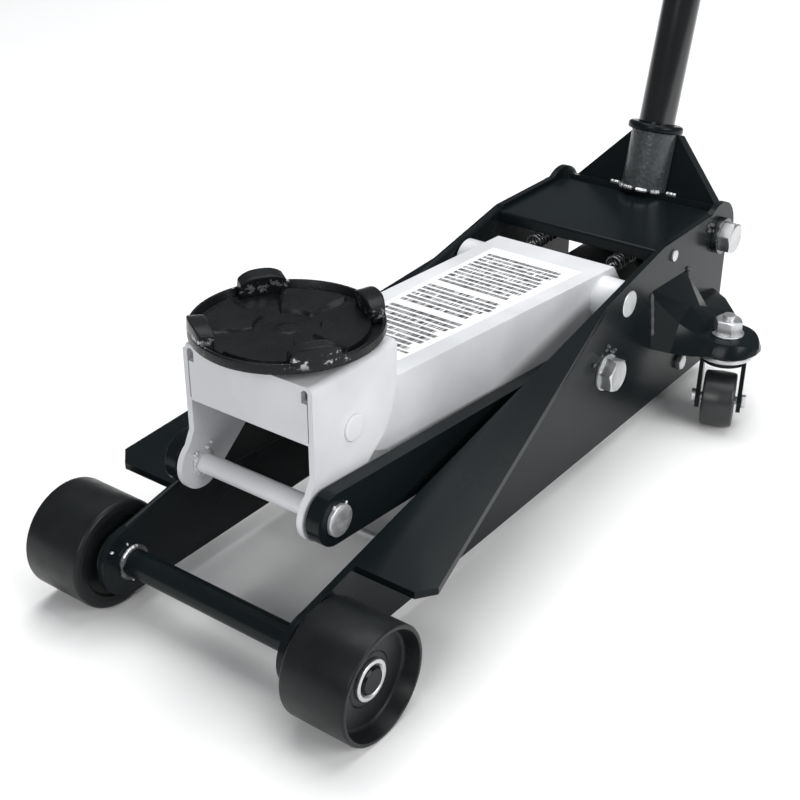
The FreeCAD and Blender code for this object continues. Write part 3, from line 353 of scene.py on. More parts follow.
def join_rows(bm, near, far, closed=True):
    """Faces between two rows of vertices; closed rows also join last to first."""
    count = len(near)
    for k in range(count if closed else count - 1):
        after = (k + 1) % count
        bm.faces.new((near[k], near[after], far[after], far[k]))


def cad_mesh(node):
    """A welded copy of a CAD node's mesh, with flat faces joined into single polygons."""
    mesh = frame["nodes"][node].data.copy()
    if "custom_normal" in mesh.attributes:
        mesh.attributes.remove(mesh.attributes["custom_normal"])
    bm = bmesh.new()
    bm.from_mesh(mesh)
    bpy.data.meshes.remove(mesh)
    return clean(bm)


def sharp_edges(bm, test=None):
    """Edges where two faces meet at a corner, and whose middle passes the test."""
    found = []
    for edge in bm.edges:
        if len(edge.link_faces) == 2 and edge.calc_face_angle(0.0) > SHARP:
            if test is None or test(edge, (edge.verts[0].co + edge.verts[1].co) / 2):
                found.append(edge)
    return found


def round_edges(bm, edges, width, segments):
    """Round the given edges."""
    if not edges:
        return
    bmesh.ops.bevel(bm, geom=edges, offset=width, offset_type="OFFSET", segments=segments,
                    profile=0.5, affect="EDGES", clamp_overlap=True, loop_slide=True)


def refine(node, edge_mm, bends=(), segments=2, material=None, cutters=()):
    """Make a CAD node's finished piece; bends are (test, radius in mm), other edges get edge_mm."""
    bm = cad_mesh(node)
    for test, radius in bends:
        round_edges(bm, sharp_edges(bm, test), radius * MM, BEND_SEGMENTS)
    if cutters:
        bm = carve(bm, cutters)
    round_edges(bm, sharp_edges(bm), edge_mm * MM, segments)
    finish_piece(node + "_finish", bm, NODE_BODY[node], NODE_SLOT[node], material, (node,))


def carve(bm, cutters):
    """Subtract closed cutter meshes from a closed mesh."""
    objects = []
    for index, source in enumerate([bm] + list(cutters)):
        mesh = bpy.data.meshes.new(f"carve_{index}")
        source.to_mesh(mesh)
        source.free()
        item = bpy.data.objects.new(mesh.name, mesh)
        bpy.context.scene.collection.objects.link(item)
        objects.append(item)
    base = objects[0]
    for cutter in objects[1:]:
        modifier = base.modifiers.new("carve", "BOOLEAN")
        modifier.operation = "DIFFERENCE"
        modifier.solver = "EXACT"
        modifier.object = cutter
    depsgraph = bpy.context.evaluated_depsgraph_get()
    result = bmesh.new()
    result.from_mesh(base.evaluated_get(depsgraph).to_mesh())
    for item in objects:
        mesh = item.data
        bpy.data.objects.remove(item)
        bpy.data.meshes.remove(mesh)
    return clean(result)


def box_mesh(low, high):
    """A closed box between two corners."""
    bm = bmesh.new()
    bmesh.ops.create_cube(bm, size=1.0)
    for vert in bm.verts:
        vert.co = Vector([low[i] if vert.co[i] < 0 else high[i] for i in range(3)])
    return bm


def filleted(points, steps=5):
    """A closed outline from (u, v, corner radius) points, each corner replaced by an arc."""
    straight = radians(178)
    outline = []
    count = len(points)
    for index, (u, v, radius) in enumerate(points):
        here = Vector((u, v))
        before = Vector(points[index - 1][:2]) - here
        after = Vector(points[(index + 1) % count][:2]) - here
        if radius <= 0 or before.angle(after) > straight:
            outline.append(here)
            continue
        reach = min(before.length, after.length) * 0.49
        half_angle = before.angle(after) / 2
        setback = min(radius / tan(half_angle), reach)
        radius = setback * tan(half_angle)
        start = here + before.normalized() * setback
        end = here + after.normalized() * setback
        inward = (before.normalized() + after.normalized()).normalized()
        centre = here + inward * (radius / sin(half_angle))
        first, last = start - centre, end - centre
        sweep = first.angle_signed(last)
        for step in range(steps + 1):
            turn = Matrix.Rotation(-sweep * step / steps, 2)
            outline.append(centre + turn @ first)
    return outline


def frame_for(axis):
    """A rotation whose third column is axis."""
    return Vector(axis).normalized().to_track_quat("Z", "Y").to_matrix()


def lathe(outline, centre, axis, steps=96, bm=None):
    """Spin a closed (radius, distance along axis) outline about an axis through centre."""
    bm = bm or bmesh.new()
    turn = frame_for(axis)
    rings = [[bm.verts.new(centre + turn @ Vector((r * cos(angle), r * sin(angle), h)))
              for r, h in outline] for angle in around(steps)]
    for ring, following in zip(rings, rings[1:] + rings[:1]):
        for index in range(len(outline)):
            after = (index + 1) % len(outline)
            if outline[index][0] < ON_AXIS and outline[after][0] < ON_AXIS:
                continue
            bm.faces.new((ring[index], ring[after], following[after], following[index]))
    bmesh.ops.remove_doubles(bm, verts=bm.verts, dist=MERGE)
    return bm


def spin(outline, centre, axis, steps, bm=None, arc_steps=5):
    """Lathe an outline of (radius, distance along axis, corner radius) points."""
    rounded = [(point.x, point.y) for point in filleted(outline, arc_steps)]
    return lathe(rounded, centre, axis, steps, bm)


def tube_along(path, radius_at, bm=None, sides=14):
    """A closed round tube along a list of points; radius_at(share of length) gives its radius."""
    bm = bm or bmesh.new()
    rings = []
    side = None
    for index, point in enumerate(path):
        ahead = path[min(index + 1, len(path) - 1)] - path[max(index - 1, 0)]
        ahead = ahead.normalized()
        if side is None:
            side = ahead.orthogonal().normalized()
        side = (side - ahead * side.dot(ahead)).normalized()
        other = ahead.cross(side)
        radius = radius_at(index / (len(path) - 1))
        rings.append([bm.verts.new(point + (side * cos(a) + other * sin(a)) * radius)
                      for a in around(sides)])
    for ring, following in zip(rings, rings[1:]):
        join_rows(bm, ring, following)
    bm.faces.new(rings[0][::-1])
    bm.faces.new(rings[-1])
    return bm


def arc(centre, radius, first, step, count):
    """Points round centre in the plane across Y, from first on, step degrees apart."""
    return [Vector((centre.x + cos(a) * radius, centre.y, centre.z + sin(a) * radius))
            for a in [radians(first + step * index) for index in range(count)]]


def weld_bead(path, radius, bm=None, ripple=2.2 * MM):
    """A rippled weld bead along a path of points, thinner at its two ends."""
    dense = []
    for start, end in zip(path, path[1:]):
        count = max(int((end - start).length / (ripple / 5)), 2)
        dense += [start.lerp(end, k / count) for k in range(count)]
    dense.append(path[-1])
    length = sum((b - a).length for a, b in zip(dense, dense[1:]))
    wander = random.Random(len(dense)).uniform(0.7, 1.3)

    def radius_at(share):
        end_taper = min(1.0, 0.35 + 9 * min(share, 1 - share))
        wave = (share * length / ripple) % 1.0
        return radius * end_taper * (0.86 + 0.2 * (1 - wave) + 0.08 * sin(share * 21 * wander))

    return tube_along(dense, radius_at, bm, 10)


def spatter(spots, seed, bm=None):
    """Small uneven blobs: each spot is (centre, radius)."""
    bm = bm or bmesh.new()
    dice = random.Random(seed)
    for centre, radius in spots:
        made = bmesh.ops.create_icosphere(bm, subdivisions=3, radius=radius)
        lobes = [Vector([dice.uniform(-1, 1) for _ in range(3)]).normalized() for _ in range(4)]
        stretch = Vector([dice.uniform(0.75, 1.25) for _ in range(3)])
        for vert in made["verts"]:
            out = vert.co.normalized()
            swell = 1 + 0.22 * sum(max(out.dot(lobe), 0) ** 3 for lobe in lobes) - 0.1
            vert.co = Vector([vert.co[i] * stretch[i] for i in range(3)]) * swell + centre
    return bm


def hex_head(flats, height, seat, axis, bm, washer_face, turned):
    """A hexagonal head with a chamfered crown, standing on seat and growing along axis."""
    turn = frame_for(axis)
    apothem = flats / 2
    crown = apothem * 0.94
    chamfer = tan(radians(30))
    dish_share, dish_depth = 0.8, 0.35 * MM
    steps = 96
    rings = [[], [], [], []]
    for angle in around(steps):
        local_angle = (angle + turned) % (pi / 3) - pi / 6
        corner = apothem / cos(local_angle)
        drop = (corner - crown) * chamfer
        levels = ((corner - drop * 0.2, 0.0), (corner, washer_face), (corner, height - drop),
                  (crown, height))
        for ring, (radius, level) in zip(rings, levels):
            spot = Vector((radius * cos(angle), radius * sin(angle), level))
            ring.append(bm.verts.new(seat + turn @ spot))
    for low, high in zip(rings, rings[1:]):
        join_rows(bm, low, high)
    dish = [bm.verts.new(seat + turn @ Vector((crown * dish_share * cos(angle),
                                               crown * dish_share * sin(angle),
                                               height - dish_depth))) for angle in around(steps)]
    join_rows(bm, rings[-1], dish)
    bm.faces.new(dish)
    bm.faces.new(rings[0][::-1])


def both(make):
    """One mesh that holds a shape of the near side and its copy on the far side."""
    bm = bmesh.new()
    for side in (1, -1):
        make(bm, side)
    return bm


# ---- running gear
def front_wheel(node, side):
    """Wide cast wheel: crowned tread, rounded shoulders, deep outer recess with a raised hub."""
    low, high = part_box(node)
    axle_low, axle_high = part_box("front_axle")
    radius, half = (high.z - low.z) / 2, (high.y - low.y) / 2
    bore = (axle_high.z - axle_low.z) / 2 + 0.05 * MM
    recess = 13 * MM
    outline = [(bore, -half, 0), (20 * MM, -half, MM), (22 * MM, -half + 3 * MM, MM),
               (33 * MM, -half + 3 * MM, 1.2 * MM), (34.5 * MM, -half + 0.8 * MM, MM),
               (39 * MM, -half + 0.4 * MM, MM), (radius, -half + 1.2 * MM, 5 * MM),
               (radius, half, 2.2 * MM), (41.4 * MM, half, 0.7 * MM),
               (38.4 * MM, half - recess, 3 * MM), (21.5 * MM, half - recess - 0.6 * MM, 0.8 * MM),
               (20 * MM, half - recess + 0.2 * MM, 0.5 * MM), (bore, half - recess + 0.2 * MM, 0)]
    bm = spin(outline, middle(node), (0, side, 0), 128)
    finish_piece(node + "_casting", bm, NODE_BODY[node], "wheel_iron", None, (node,), False)


def axle_hardware():
    """Chamfered axle bar, bright retaining rings and the weld spatter at its ends; the spatter is pale in part as
    painted glints.
    """
    low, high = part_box("front_axle")
    radius, half = (high.z - low.z) / 2, (high.y - low.y) / 2
    bar = [(0, -half, 0), (radius - 1.5 * MM, -half, 0), (radius, -half + 1.5 * MM, 0.6 * MM),
           (radius, half - 1.5 * MM, 0.6 * MM), (radius - 1.5 * MM, half, 0), (0, half, 0)]
    bm = spin(bar, AXLE, (0, 1, 0), 64)
    finish_piece("front_axle_bar", bm, "root", "frame_paint", None, ("front_axle",))

    washer_low, washer_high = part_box("wheel_washers")
    outer = (washer_high.z - washer_low.z) / 2
    thick = 2.5 * MM

    def washer(bm, side):
        seat = Vector((AXLE.x, side * (washer_high.y - thick), AXLE.z))
        inner = radius + 0.02 * MM
        ring = [(inner, 0, 0.3 * MM), (outer, 0, 0.3 * MM), (outer, thick, 0.9 * MM),
                (radius + 2 * MM, thick, 0.3 * MM), (inner, thick - 1.9 * MM, 0)]
        spin(ring, seat, (0, side, 0), 72, bm)

    finish_piece("wheel_retaining_rings", both(washer), "root", "zinc", None, ("wheel_washers",))
    plate_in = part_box("top_cover")[1].y

    def axle_weld(bm, side):
        middle_point = Vector((AXLE.x, side * (plate_in - 0.8 * MM), AXLE.z))
        weld_bead(arc(middle_point, radius + 1.2 * MM, 0, 12, 31), 2.6 * MM, bm, 3.2 * MM)

    # pale blobs and a short pale bead: bare weld spatter whose pale colour is partly a painted glint
    def axle_spatter_and_glints(bm, side):
        dice = random.Random(31 + side)
        spots = [(Vector((AXLE.x + dice.uniform(-20, 20) * MM,
                          side * (plate_in - dice.uniform(0, 1) * MM),
                          AXLE.z + dice.uniform(-17, 19) * MM)), dice.uniform(0.5, 1.4) * MM)
                 for _ in range(5)]
        spatter(spots, 7 + side, bm)
        middle_point = Vector((AXLE.x, side * (plate_in - 1.6 * MM), AXLE.z))
        weld_bead(arc(middle_point, radius + 2.6 * MM, 40, 9, 9), 1.5 * MM, bm, 3 * MM)

    finish_piece("axle_welds", both(axle_weld), "root", "frame_paint", DARK_WELD)
    finish_piece("axle_spatter_and_glints", both(axle_spatter_and_glints), "root", "frame_paint", BARE_WELD_AND_GLINT)


def caster(side_name, side):
    """Caster wheel with a crowned nylon tread and a recessed hub, on its own axis."""
    node = f"caster_wheel_{side_name}"
    joint = JOINTS[f"caster_{side_name}_roll"]
    axis, centre = Vector(joint["axis"]).normalized(), Vector(joint["pos_m"])
    radius = centre.z
    half = 15 * MM
    bore = 4.05 * MM
    profile = [(bore, half, 0), (9 * MM, half, 0.6 * MM), (10.5 * MM, half - 3 * MM, MM),
               (19 * MM, half - 3 * MM, 1.5 * MM), (21 * MM, half, 0.8 * MM),
               (radius - MM, half, 3.5 * MM)]
    outline = [(r, -along, corner) for r, along, corner in profile]
    outline += [(radius, 0, 30 * MM)] + profile[::-1]
    bm = spin(outline, centre, axis * side, 96, None, 6)
    finish_piece(node + "_moulding", bm, NODE_BODY[node], "caster_nylon", None, (node,), False)


def caster_bracket(side_name, side):
    """Formed sheet horn: high on the plate, creased down to a flat lobe round the kingpin."""
    king = JOINTS[f"caster_{side_name}_swivel"]["pos_m"]
    king_x, king_y = (king[0] - AXLE.x) / MM, abs(king[1]) / MM
    lobe, flat, foot = 33, 88, 76  # lobe radius, its top height and its rim's lower height, in mm
    rim_width, rim_drop, sheet = 7, 7, 3.6 * MM
    rows = [
        (92, [(-501, 78), (-490, 138), (-494, 141), (-562, 138), (-573, 107), (-632, 94),
              (-634, 80)]),
        (110, [(-506, 77), (-519, 103), (-540, 114), (-562, 106), (-580, 98), (-623, 91),
               (-629, 78)]),
        (128, [(-514, 76), (-530, 90), (-552, 90.5), (-572, 90), (-588, 89), (-604, 88.5),
               (-613, 76)]),
    ]
    for step in range(10):
        share, half = sin(radians(step * 9)), lobe * cos(radians(step * 9))
        inner = max(half - rim_width, 1.0)
        top = flat - rim_drop * share ** 5
        row = [(king_x + half, foot)]
        row += [(king_x + inner * (1 - 2 * k / 4), top) for k in range(5)]
        row.append((king_x - half, foot))
        rows.append((king_y + share * lobe, row))
    bm = bmesh.new()
    grid = [[bm.verts.new(at(x, side * y, z)) for x, z in row] for y, row in rows]
    for near, far in zip(grid, grid[1:]):
        join_rows(bm, near, far, False)
    bm.faces.new(grid[-1])
    bmesh.ops.recalc_face_normals(bm, faces=bm.faces)
    if sum(face.normal.z for face in bm.faces) < 0:
        bmesh.ops.reverse_faces(bm, faces=bm.faces)
    bmesh.ops.solidify(bm, geom=bm.faces, thickness=sheet)
    round_edges(bm, sharp_edges(bm), 1.1 * MM, 3)
    node = f"caster_bracket_{side_name}"
    finish_piece(node + "_pressing", bm, "root", "frame_paint", None, (node,), False, None,
                 radians(17))


# ---- saddle
FIRST_LUG_ANGLE = 58
LUG_COUNT = 4


def saddle_dish(centre_x, outer, rim_top, stem_low):
    """Cast dish: seat with a small boss and stepped sector pads, rim, underside and stem."""
    floor = rim_top - 7 * MM
    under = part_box("saddle_bracket")[1].z + 0.3 * MM
    rim_in = outer - 4.5 * MM
    seat_radii = (0, 5, 7.4, 8.4, 12, 18, 24, 25.2, 28, 34, 42, 50, 57, 60, 61.2, 63, 65.5)
    sector, pad_end, ramp_width = 90, 57, 1.4  # degrees

    def top_height(r, angle):
        """Seat height at a radius in mm and an angle."""
        height = floor + 1.6 * MM * (r / 65) ** 3
        if 7.9 < r < 23:
            height -= 0.5 * MM
        within = (degrees(angle) + 1 + r * 0.16) % sector
        ramp = max(0.0, min((within - 3) / ramp_width, (pad_end - within) / ramp_width, 1.0))
        if 25 < r < 60.5:
            height += 2.6 * MM * ramp
        elif r > 25:
            height -= 0.9 * MM
        return height

    bm = bmesh.new()

    def ring(r, height_at):
        return [bm.verts.new((centre_x + r * cos(a), r * sin(a), height_at(a)))
                for a in around(192)]

    rings = [ring(r * MM, lambda a: top_height(r, a)) for r in seat_radii]
    side = filleted([(rim_in, rim_top - 6 * MM, 0), (rim_in + 2 * MM, rim_top, 1.2 * MM),
                     (outer, rim_top, 1.8 * MM), (outer, rim_top - 8 * MM, 2.5 * MM),
                     (42 * MM, under, 3 * MM), (15 * MM, under, 0)])
    stem = [(14 * MM, under - MM), (14 * MM, stem_low + 1.2 * MM), (12.8 * MM, stem_low),
            (0, stem_low)]
    rings += [ring(r, lambda a: z) for r, z in [(p.x, p.y) for p in side] + stem]
    for near, far in zip(rings, rings[1:]):
        join_rows(bm, near, far)
    bmesh.ops.remove_doubles(bm, verts=bm.verts, dist=MERGE)
    return bm


def saddle_lug(outer, rim_top):
    """A gripping lug at angle zero: a block inside the rim that bulges and leans, then rounded."""
    depth, half_width, rise = 13 * MM, 19.5 * MM, 17.5 * MM
    foot = rim_top - 6.5 * MM
    across, along, up = 4, 12, 6
    lug = bmesh.new()
    corners = {}
    for i, j, k in product(range(across + 1), range(along + 1), range(up + 1)):
        if i in (0, across) or j in (0, along) or k in (0, up):
            u, v, w = i / across, j / along * 2 - 1, k / up
            bulge = 1 - 0.10 * v * v
            radial = outer - depth + depth * u * bulge - 1.5 * MM * w * (1 - u)
            rim = sqrt(max(outer ** 2 - (v * half_width) ** 2, 0))
            height = foot + rise * w * (1 - 0.24 * abs(v) ** 3) - 1.6 * MM * w * (1 - u)
            place = (min(radial, rim - 0.2 * MM), v * half_width * (1 - 0.10 * w), height)
            corners[i, j, k] = lug.verts.new(place)

    def skin(*points):
        lug.faces.new([corners[p] for p in points])

    for i, j, k in product(range(across), range(along), (0, up)):
        skin((i, j, k), (i + 1, j, k), (i + 1, j + 1, k), (i, j + 1, k))
    for i, k, j in product(range(across), range(up), (0, along)):
        skin((i, j, k), (i + 1, j, k), (i + 1, j, k + 1), (i, j, k + 1))
    for j, k, i in product(range(along), range(up), (0, across)):
        skin((i, j, k), (i, j + 1, k), (i, j + 1, k + 1), (i, j, k + 1))
    bmesh.ops.recalc_face_normals(lug, faces=lug.faces)
    round_edges(lug, sharp_edges(lug), 2.4 * MM, 4)
    return lug


def saddle():
    """Cast saddle: the dish and its four gripping lugs, worn at their feet."""
    low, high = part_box("saddle")
    centre_x = middle("saddle").x
    outer = (high.x - low.x) / 2
    rim_top = high.z - 11 * MM
    bm = saddle_dish(centre_x, outer, rim_top, low.z)
    for index in range(LUG_COUNT):
        lug = saddle_lug(outer, rim_top)
        angle = radians(FIRST_LUG_ANGLE + 360 / LUG_COUNT * index)
        turn = Matrix.Rotation(angle, 4, "Z")
        shift = Matrix.Translation(Vector((centre_x, 0, 0)))
        bmesh.ops.transform(lug, matrix=shift @ turn, verts=lug.verts)
        mesh = bpy.data.meshes.new("lug")
        lug.to_mesh(mesh)
        lug.free()
        bm.from_mesh(mesh)
        bpy.data.meshes.remove(mesh)

    def lug_base(spot):
        out = Vector((spot.x - centre_x, spot.y, 0))
        past_first = degrees(atan2(out.y, out.x)) - FIRST_LUG_ANGLE
        return (out.length > outer - 15 * MM and rim_top - 2 * MM < spot.z < rim_top + 4 * MM
                and abs((past_first + 45) % 90 - 45) < 20)

    finish_piece("saddle_casting", bm, "saddle_top", "saddle_iron", None, ("saddle",), False,
                 lug_base)


# ---- lift arm, bracket and links
def is_along(edge, axis):
    """True for an edge that runs within about 20 degrees of an axis (0 x, 1 y, 2 z)."""
    run = edge.verts[1].co - edge.verts[0].co
    return run.length > 1e-9 and abs(run[axis]) > 0.94 * run.length


def lift_arm():
    """Pressed arm with bent top edges and a fold at its rear."""
    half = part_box("lift_arm")[1].y

    def top_run(edge, spot):
        return is_along(edge, 0) and spot.z > at(0, 0, 158).z and 44 * MM < abs(spot.y) < half

    def rear_fold(edge, spot):
        in_corner = spot.x < at(-462, 0, 0).x and spot.z > at(0, 0, 140).z
        return in_corner and (is_along(edge, 1) or is_along(edge, 2))

    refine("lift_arm", 1.0, [(top_run, 5.0), (rear_fold, 3.5)])


def arm_label():
    """Thin label that follows the taper and the slope of the arm's top; lengths in mm."""
    lead, tail = -176, -438
    lead_half, tail_half = 38, 47.5
    top_at_tip, tip, slope = 190.9, -72, 0.0633
    face_level, back_level = 0.12, -0.46
    rows, columns = 24, 10
    bm = bmesh.new()
    uv = bm.verts.layers.float_vector.new("label_uv")

    def sheet(level):
        grid = []
        for i in range(rows + 1):
            share = i / rows
            x = lead + (tail - lead) * share
            half_width = lead_half + (tail_half - lead_half) * share
            z = top_at_tip + slope * (x - tip) + level
            line = []
            for j in range(columns + 1):
                across = j / columns
                vert = bm.verts.new(at(x, half_width * (2 * across - 1), z))
                vert[uv] = (share, across, 0)
                line.append(vert)
            grid.append(line)
        for near, far in zip(grid, grid[1:]):
            join_rows(bm, near, far, False)
        return grid

    face, back = sheet(face_level), sheet(back_level)
    for end in (0, -1):
        join_rows(bm, face[end], back[end], False)
    for end in (0, -1):
        join_rows(bm, [line[end] for line in face], [line[end] for line in back], False)
    finish_piece("arm_label", bm, "arm", "arm_paint", LABEL, (), False)


def saddle_bracket():
    """Pressed channel: bends at its top, slots at the front corners, seams beside the flange."""
    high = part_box("saddle_bracket")[1]
    cheek_out, top = high.y, high.z
    front_face = at(-47, 0, 0).x
    cheek_in = cheek_out - 5 * MM
    cutters = []
    for side in (1, -1):
        for depth, inset, below, above in ((2.6, 0.2, 44, 12), (9, 5.4, 13.5, 4.8)):
            span = sorted((side * (cheek_in - inset * MM), side * (cheek_in + 0.8 * MM)))
            cutters.append(box_mesh((front_face - depth * MM, span[0], top - below * MM),
                                    (front_face + 2 * MM, span[1], top - above * MM)))

    def cheek_bend(edge, spot):
        on_bend = spot.z > top - MM and abs(spot.y) > cheek_out - MM
        return on_bend and is_along(edge, 0)

    def front_bend(edge, spot):
        on_bend = spot.z > top - MM and spot.x > front_face - MM
        return on_bend and is_along(edge, 1)

    bends = [(cheek_bend, 4.5), (front_bend, 2.4)]
    refine("saddle_bracket", 1.1, bends, 3, None, cutters)


def cross_tube():
    """The bracket's cross tube with its two end welds and their spatter."""
    low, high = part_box("bracket_cross_tube")
    tube = middle("bracket_cross_tube")
    radius = (high.z - low.z) / 2

    def tube_weld(bm, side):
        end = Vector((tube.x, side * (high.y - MM), tube.z))
        weld_bead(arc(end, radius + 0.8 * MM, 0, 12, 31), 2.4 * MM, bm, 3.6 * MM)
        dice = random.Random(5 + side)
        spots = [(Vector((tube.x + dice.uniform(-11, 11) * MM,
                          side * (high.y - dice.uniform(0, 3) * MM),
                          tube.z + dice.uniform(2, 14) * MM)), dice.uniform(1.0, 2.2) * MM)
                 for _ in range(7)]
        spatter(spots, 3 + side, bm)

    finish_piece("cross_tube_welds", both(tube_weld), "bracket", "arm_paint", GREY_WELD)
    refine("bracket_cross_tube", 0.6)


def pressed_pins(node, seat_mm, shank_mm, start_mm, head_r, head, slot, material, spots):
    """Round-headed pins on both sides; spots are (offset, radius) blobs of weld spatter in mm."""
    spot = middle(node)
    seat_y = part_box(node)[1].y - seat_mm * MM
    shank_r, start = shank_mm * MM, start_mm * MM - seat_y

    def pin(bm, side):
        seat = Vector((spot.x, side * seat_y, spot.z))
        outline = [(0, start, 0), (shank_r, start, 0), (shank_r, 0, 0),
                   (head_r * MM, 0, 0.2 * MM), (head_r * MM, head * MM * 0.85, 0.8 * MM),
                   (head_r * 0.72 * MM, head * MM * 0.95, 4 * MM), (0, head * MM, 0)]
        spin(outline, seat, (0, side, 0), 64, bm)
        spatter([(seat + Vector((x, side * y, z)) * MM, radius * MM)
                 for (x, y, z), radius in spots], 11, bm)

    finish_piece(node + "_headed", both(pin), NODE_BODY[node], slot, material, (node,), False)


# ---- fasteners
def hex_bolts(node, inner_mm, shank_mm, flats_mm, head_mm):
    """Hex bolts on both sides, each with its shank, a chamfered head and a flat washer face."""
    spot = middle(node)
    seat_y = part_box(node)[1].y - head_mm * MM
    start = inner_mm * MM - seat_y

    def bolt(bm, side):
        seat = Vector((spot.x, side * seat_y, spot.z))
        shank = [(0, start), (shank_mm * MM, start), (shank_mm * MM, 0.2 * MM), (0, 0.2 * MM)]
        lathe(shank, seat, (0, side, 0), 48, bm)
        hex_head(flats_mm * MM, head_mm * MM, seat, (0, side, 0), bm, 0.6 * MM, 0.3)

    finish_piece(node + "_hex", both(bolt), "root", "zinc", None, (node,), False)


def caster_nuts():
    """Kingpin nuts with a chamfered crown, a washer and the pin's end standing in each."""
    low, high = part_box("caster_nuts")
    up = (0, 0, 1)
    thick, pin_r = 1.8 * MM, 6 * MM

    def nut(bm, side):
        king = JOINTS["caster_left_swivel" if side > 0 else "caster_right_swivel"]["pos_m"]
        seat = Vector((king[0], king[1], low.z))
        washer = [(6.05 * MM, 0, 0), (15.5 * MM, 0, 0.4 * MM), (15.5 * MM, thick, 0.6 * MM),
                  (6.05 * MM, thick, 0)]
        spin(washer, seat, up, 64, bm)
        nut_height = high.z - low.z - 2.6 * MM
        hex_head(23.4 * MM, nut_height, seat + Vector((0, 0, thick)), up, bm, 0.5 * MM, 0.4)
        end = [(0, 0, 0), (pin_r, 0, 0), (pin_r, 3.2 * MM, 1.2 * MM), (0, 3.2 * MM, 0)]
        spin(end, Vector((king[0], king[1], high.z - 3.6 * MM)), up, 32, bm)

    finish_piece("caster_nut_hex", both(nut), "root", "zinc", None, ("caster_nuts",), False)


def plate_marks():
    """Weld spatter and small beads on the side plates, as left by the assembly welds."""
    tie_x, tie_z, yoke_x, yoke_z = -411, 92, -608, 166

    def marks(bm, side):
        dice = random.Random(40 + side)

        def spot(x, z, radius):
            return Vector((AXLE.x + x * MM, side * (PLATE_FACE + 0.1 * MM), z * MM)), radius * MM

        around_tie = []
        for _ in range(13):
            angle = radians(dice.uniform(20, 150))
            away = dice.uniform(18, 27)
            around_tie.append(spot(tie_x + away * cos(angle), tie_z + away * sin(angle),
                                   dice.uniform(0.9, 2.4)))
        spatter(around_tie, 9 + side, bm)
        around_yoke = [spot(yoke_x + dice.uniform(-7, 8), yoke_z + dice.uniform(-7, 6),
                            dice.uniform(1.0, 3.0)) for _ in range(6)]
        spatter(around_yoke, 12 + side, bm)

    finish_piece("plate_spatter", both(marks), "root", "frame_paint", DARK_WELD)

    rear = ((-566, 136), (-571, 120), (-574, 107))
    front = ((-491, 140), (-496, 118), (-501, 92))
    under = ((-502, 80), (-545, 78), (-590, 78), (-632, 80))
    blobs = ((-497, 118, 2.2), (-500, 96, 2.6), (-566, 138, 2.4), (-575, 106, 1.9))

    def bracket_weld(bm, side):
        y = side * (PLATE_FACE + 0.3 * MM)
        for line in (rear, front, under):
            path = [Vector((at(x, 0, 0).x, y, z * MM)) for x, z in line]
            weld_bead(path, 2 * MM, bm, 2.6 * MM)
        spatter([(Vector((at(x, 0, 0).x, y, z * MM)), r * MM) for x, z, r in blobs], 21, bm)

    finish_piece("caster_bracket_welds", both(bracket_weld), "root", "frame_paint", DARK_WELD)


# ---- handle and yoke
TWIST = JOINTS["handle_twist"]
HANDLE_AXIS = Vector(TWIST["axis"]).normalized()
HANDLE_FOOT = Vector(TWIST["pos_m"])


def along_handle(node):
    """Lowest and highest point of a node measured along the handle's axis."""
    spots = [(v.co - HANDLE_FOOT).dot(HANDLE_AXIS) for v in frame["nodes"][node].data.vertices]
    return min(spots), max(spots)


def handle_piece(name, outline, steps, body, slot, replaces=(), arc_steps=5):
    """A piece spun about the handle's axis."""
    bm = spin(outline, HANDLE_FOOT, HANDLE_AXIS, steps, None, arc_steps)
    finish_piece(name, bm, body, slot, None, replaces, False)


def handle():
    """Ribbed grip with its cap, lower tube and the sprung lock button."""
    start, end = along_handle("handle_grip")
    inner, outer = 14.9 * MM, 19 * MM
    groove = outer - 1.5 * MM
    ribs = 15
    outline = [(inner, start, 0), (outer - MM, start, 1.2 * MM)]
    pitch = (end - start - 16 * MM) / ribs
    for index in range(ribs):
        base = start + 8 * MM + pitch * index
        outline += [(outer, base, 0.5 * MM), (outer, base + pitch * 0.62, 0.9 * MM),
                    (groove, base + pitch * 0.72, 0.5 * MM),
                    (groove, base + pitch * 0.92, 0.5 * MM)]
    outline += [(outer, end - 6 * MM, 0.6 * MM), (outer, end, 2 * MM), (inner, end, 0)]
    handle_piece("grip_moulding", outline, 72, "handle", "grip_rubber", ("handle_grip",), 3)

    low, high = along_handle("handle_end_cap")
    cap = [(0, low, 0), (17 * MM, low, 0.4 * MM), (17 * MM, high - 0.5 * MM, 3 * MM),
           (6 * MM, high, 6 * MM), (0, high, 0)]
    handle_piece("handle_cap_moulding", cap, 64, "handle", "grip_rubber", ("handle_end_cap",))

    low, high = along_handle("handle_lower")
    outer, bore = 18 * MM, 15 * MM
    tube = [(bore, low, 0), (outer, low, 0.8 * MM), (outer, high - 26 * MM, 0.3 * MM),
            (outer, high - 3 * MM, 0.3 * MM), (outer - 0.8 * MM, high, 0.8 * MM),
            (bore, high, 0.5 * MM)]
    handle_piece("handle_lower_tube", tube, 96, "handle", "handle_paint", ("handle_lower",))
    button = HANDLE_FOOT + HANDLE_AXIS * (high - 30 * MM)
    front = Vector((HANDLE_AXIS.z, 0, -HANDLE_AXIS.x))
    knob = [(0, 10 * MM, 0), (4.5 * MM, 10 * MM, 0), (4.5 * MM, 19.2 * MM, 1.6 * MM),
            (0, 20 * MM, 0)]
    finish_piece("handle_lock_button", spin(knob, button, front, 40), "handle", "zinc", None)


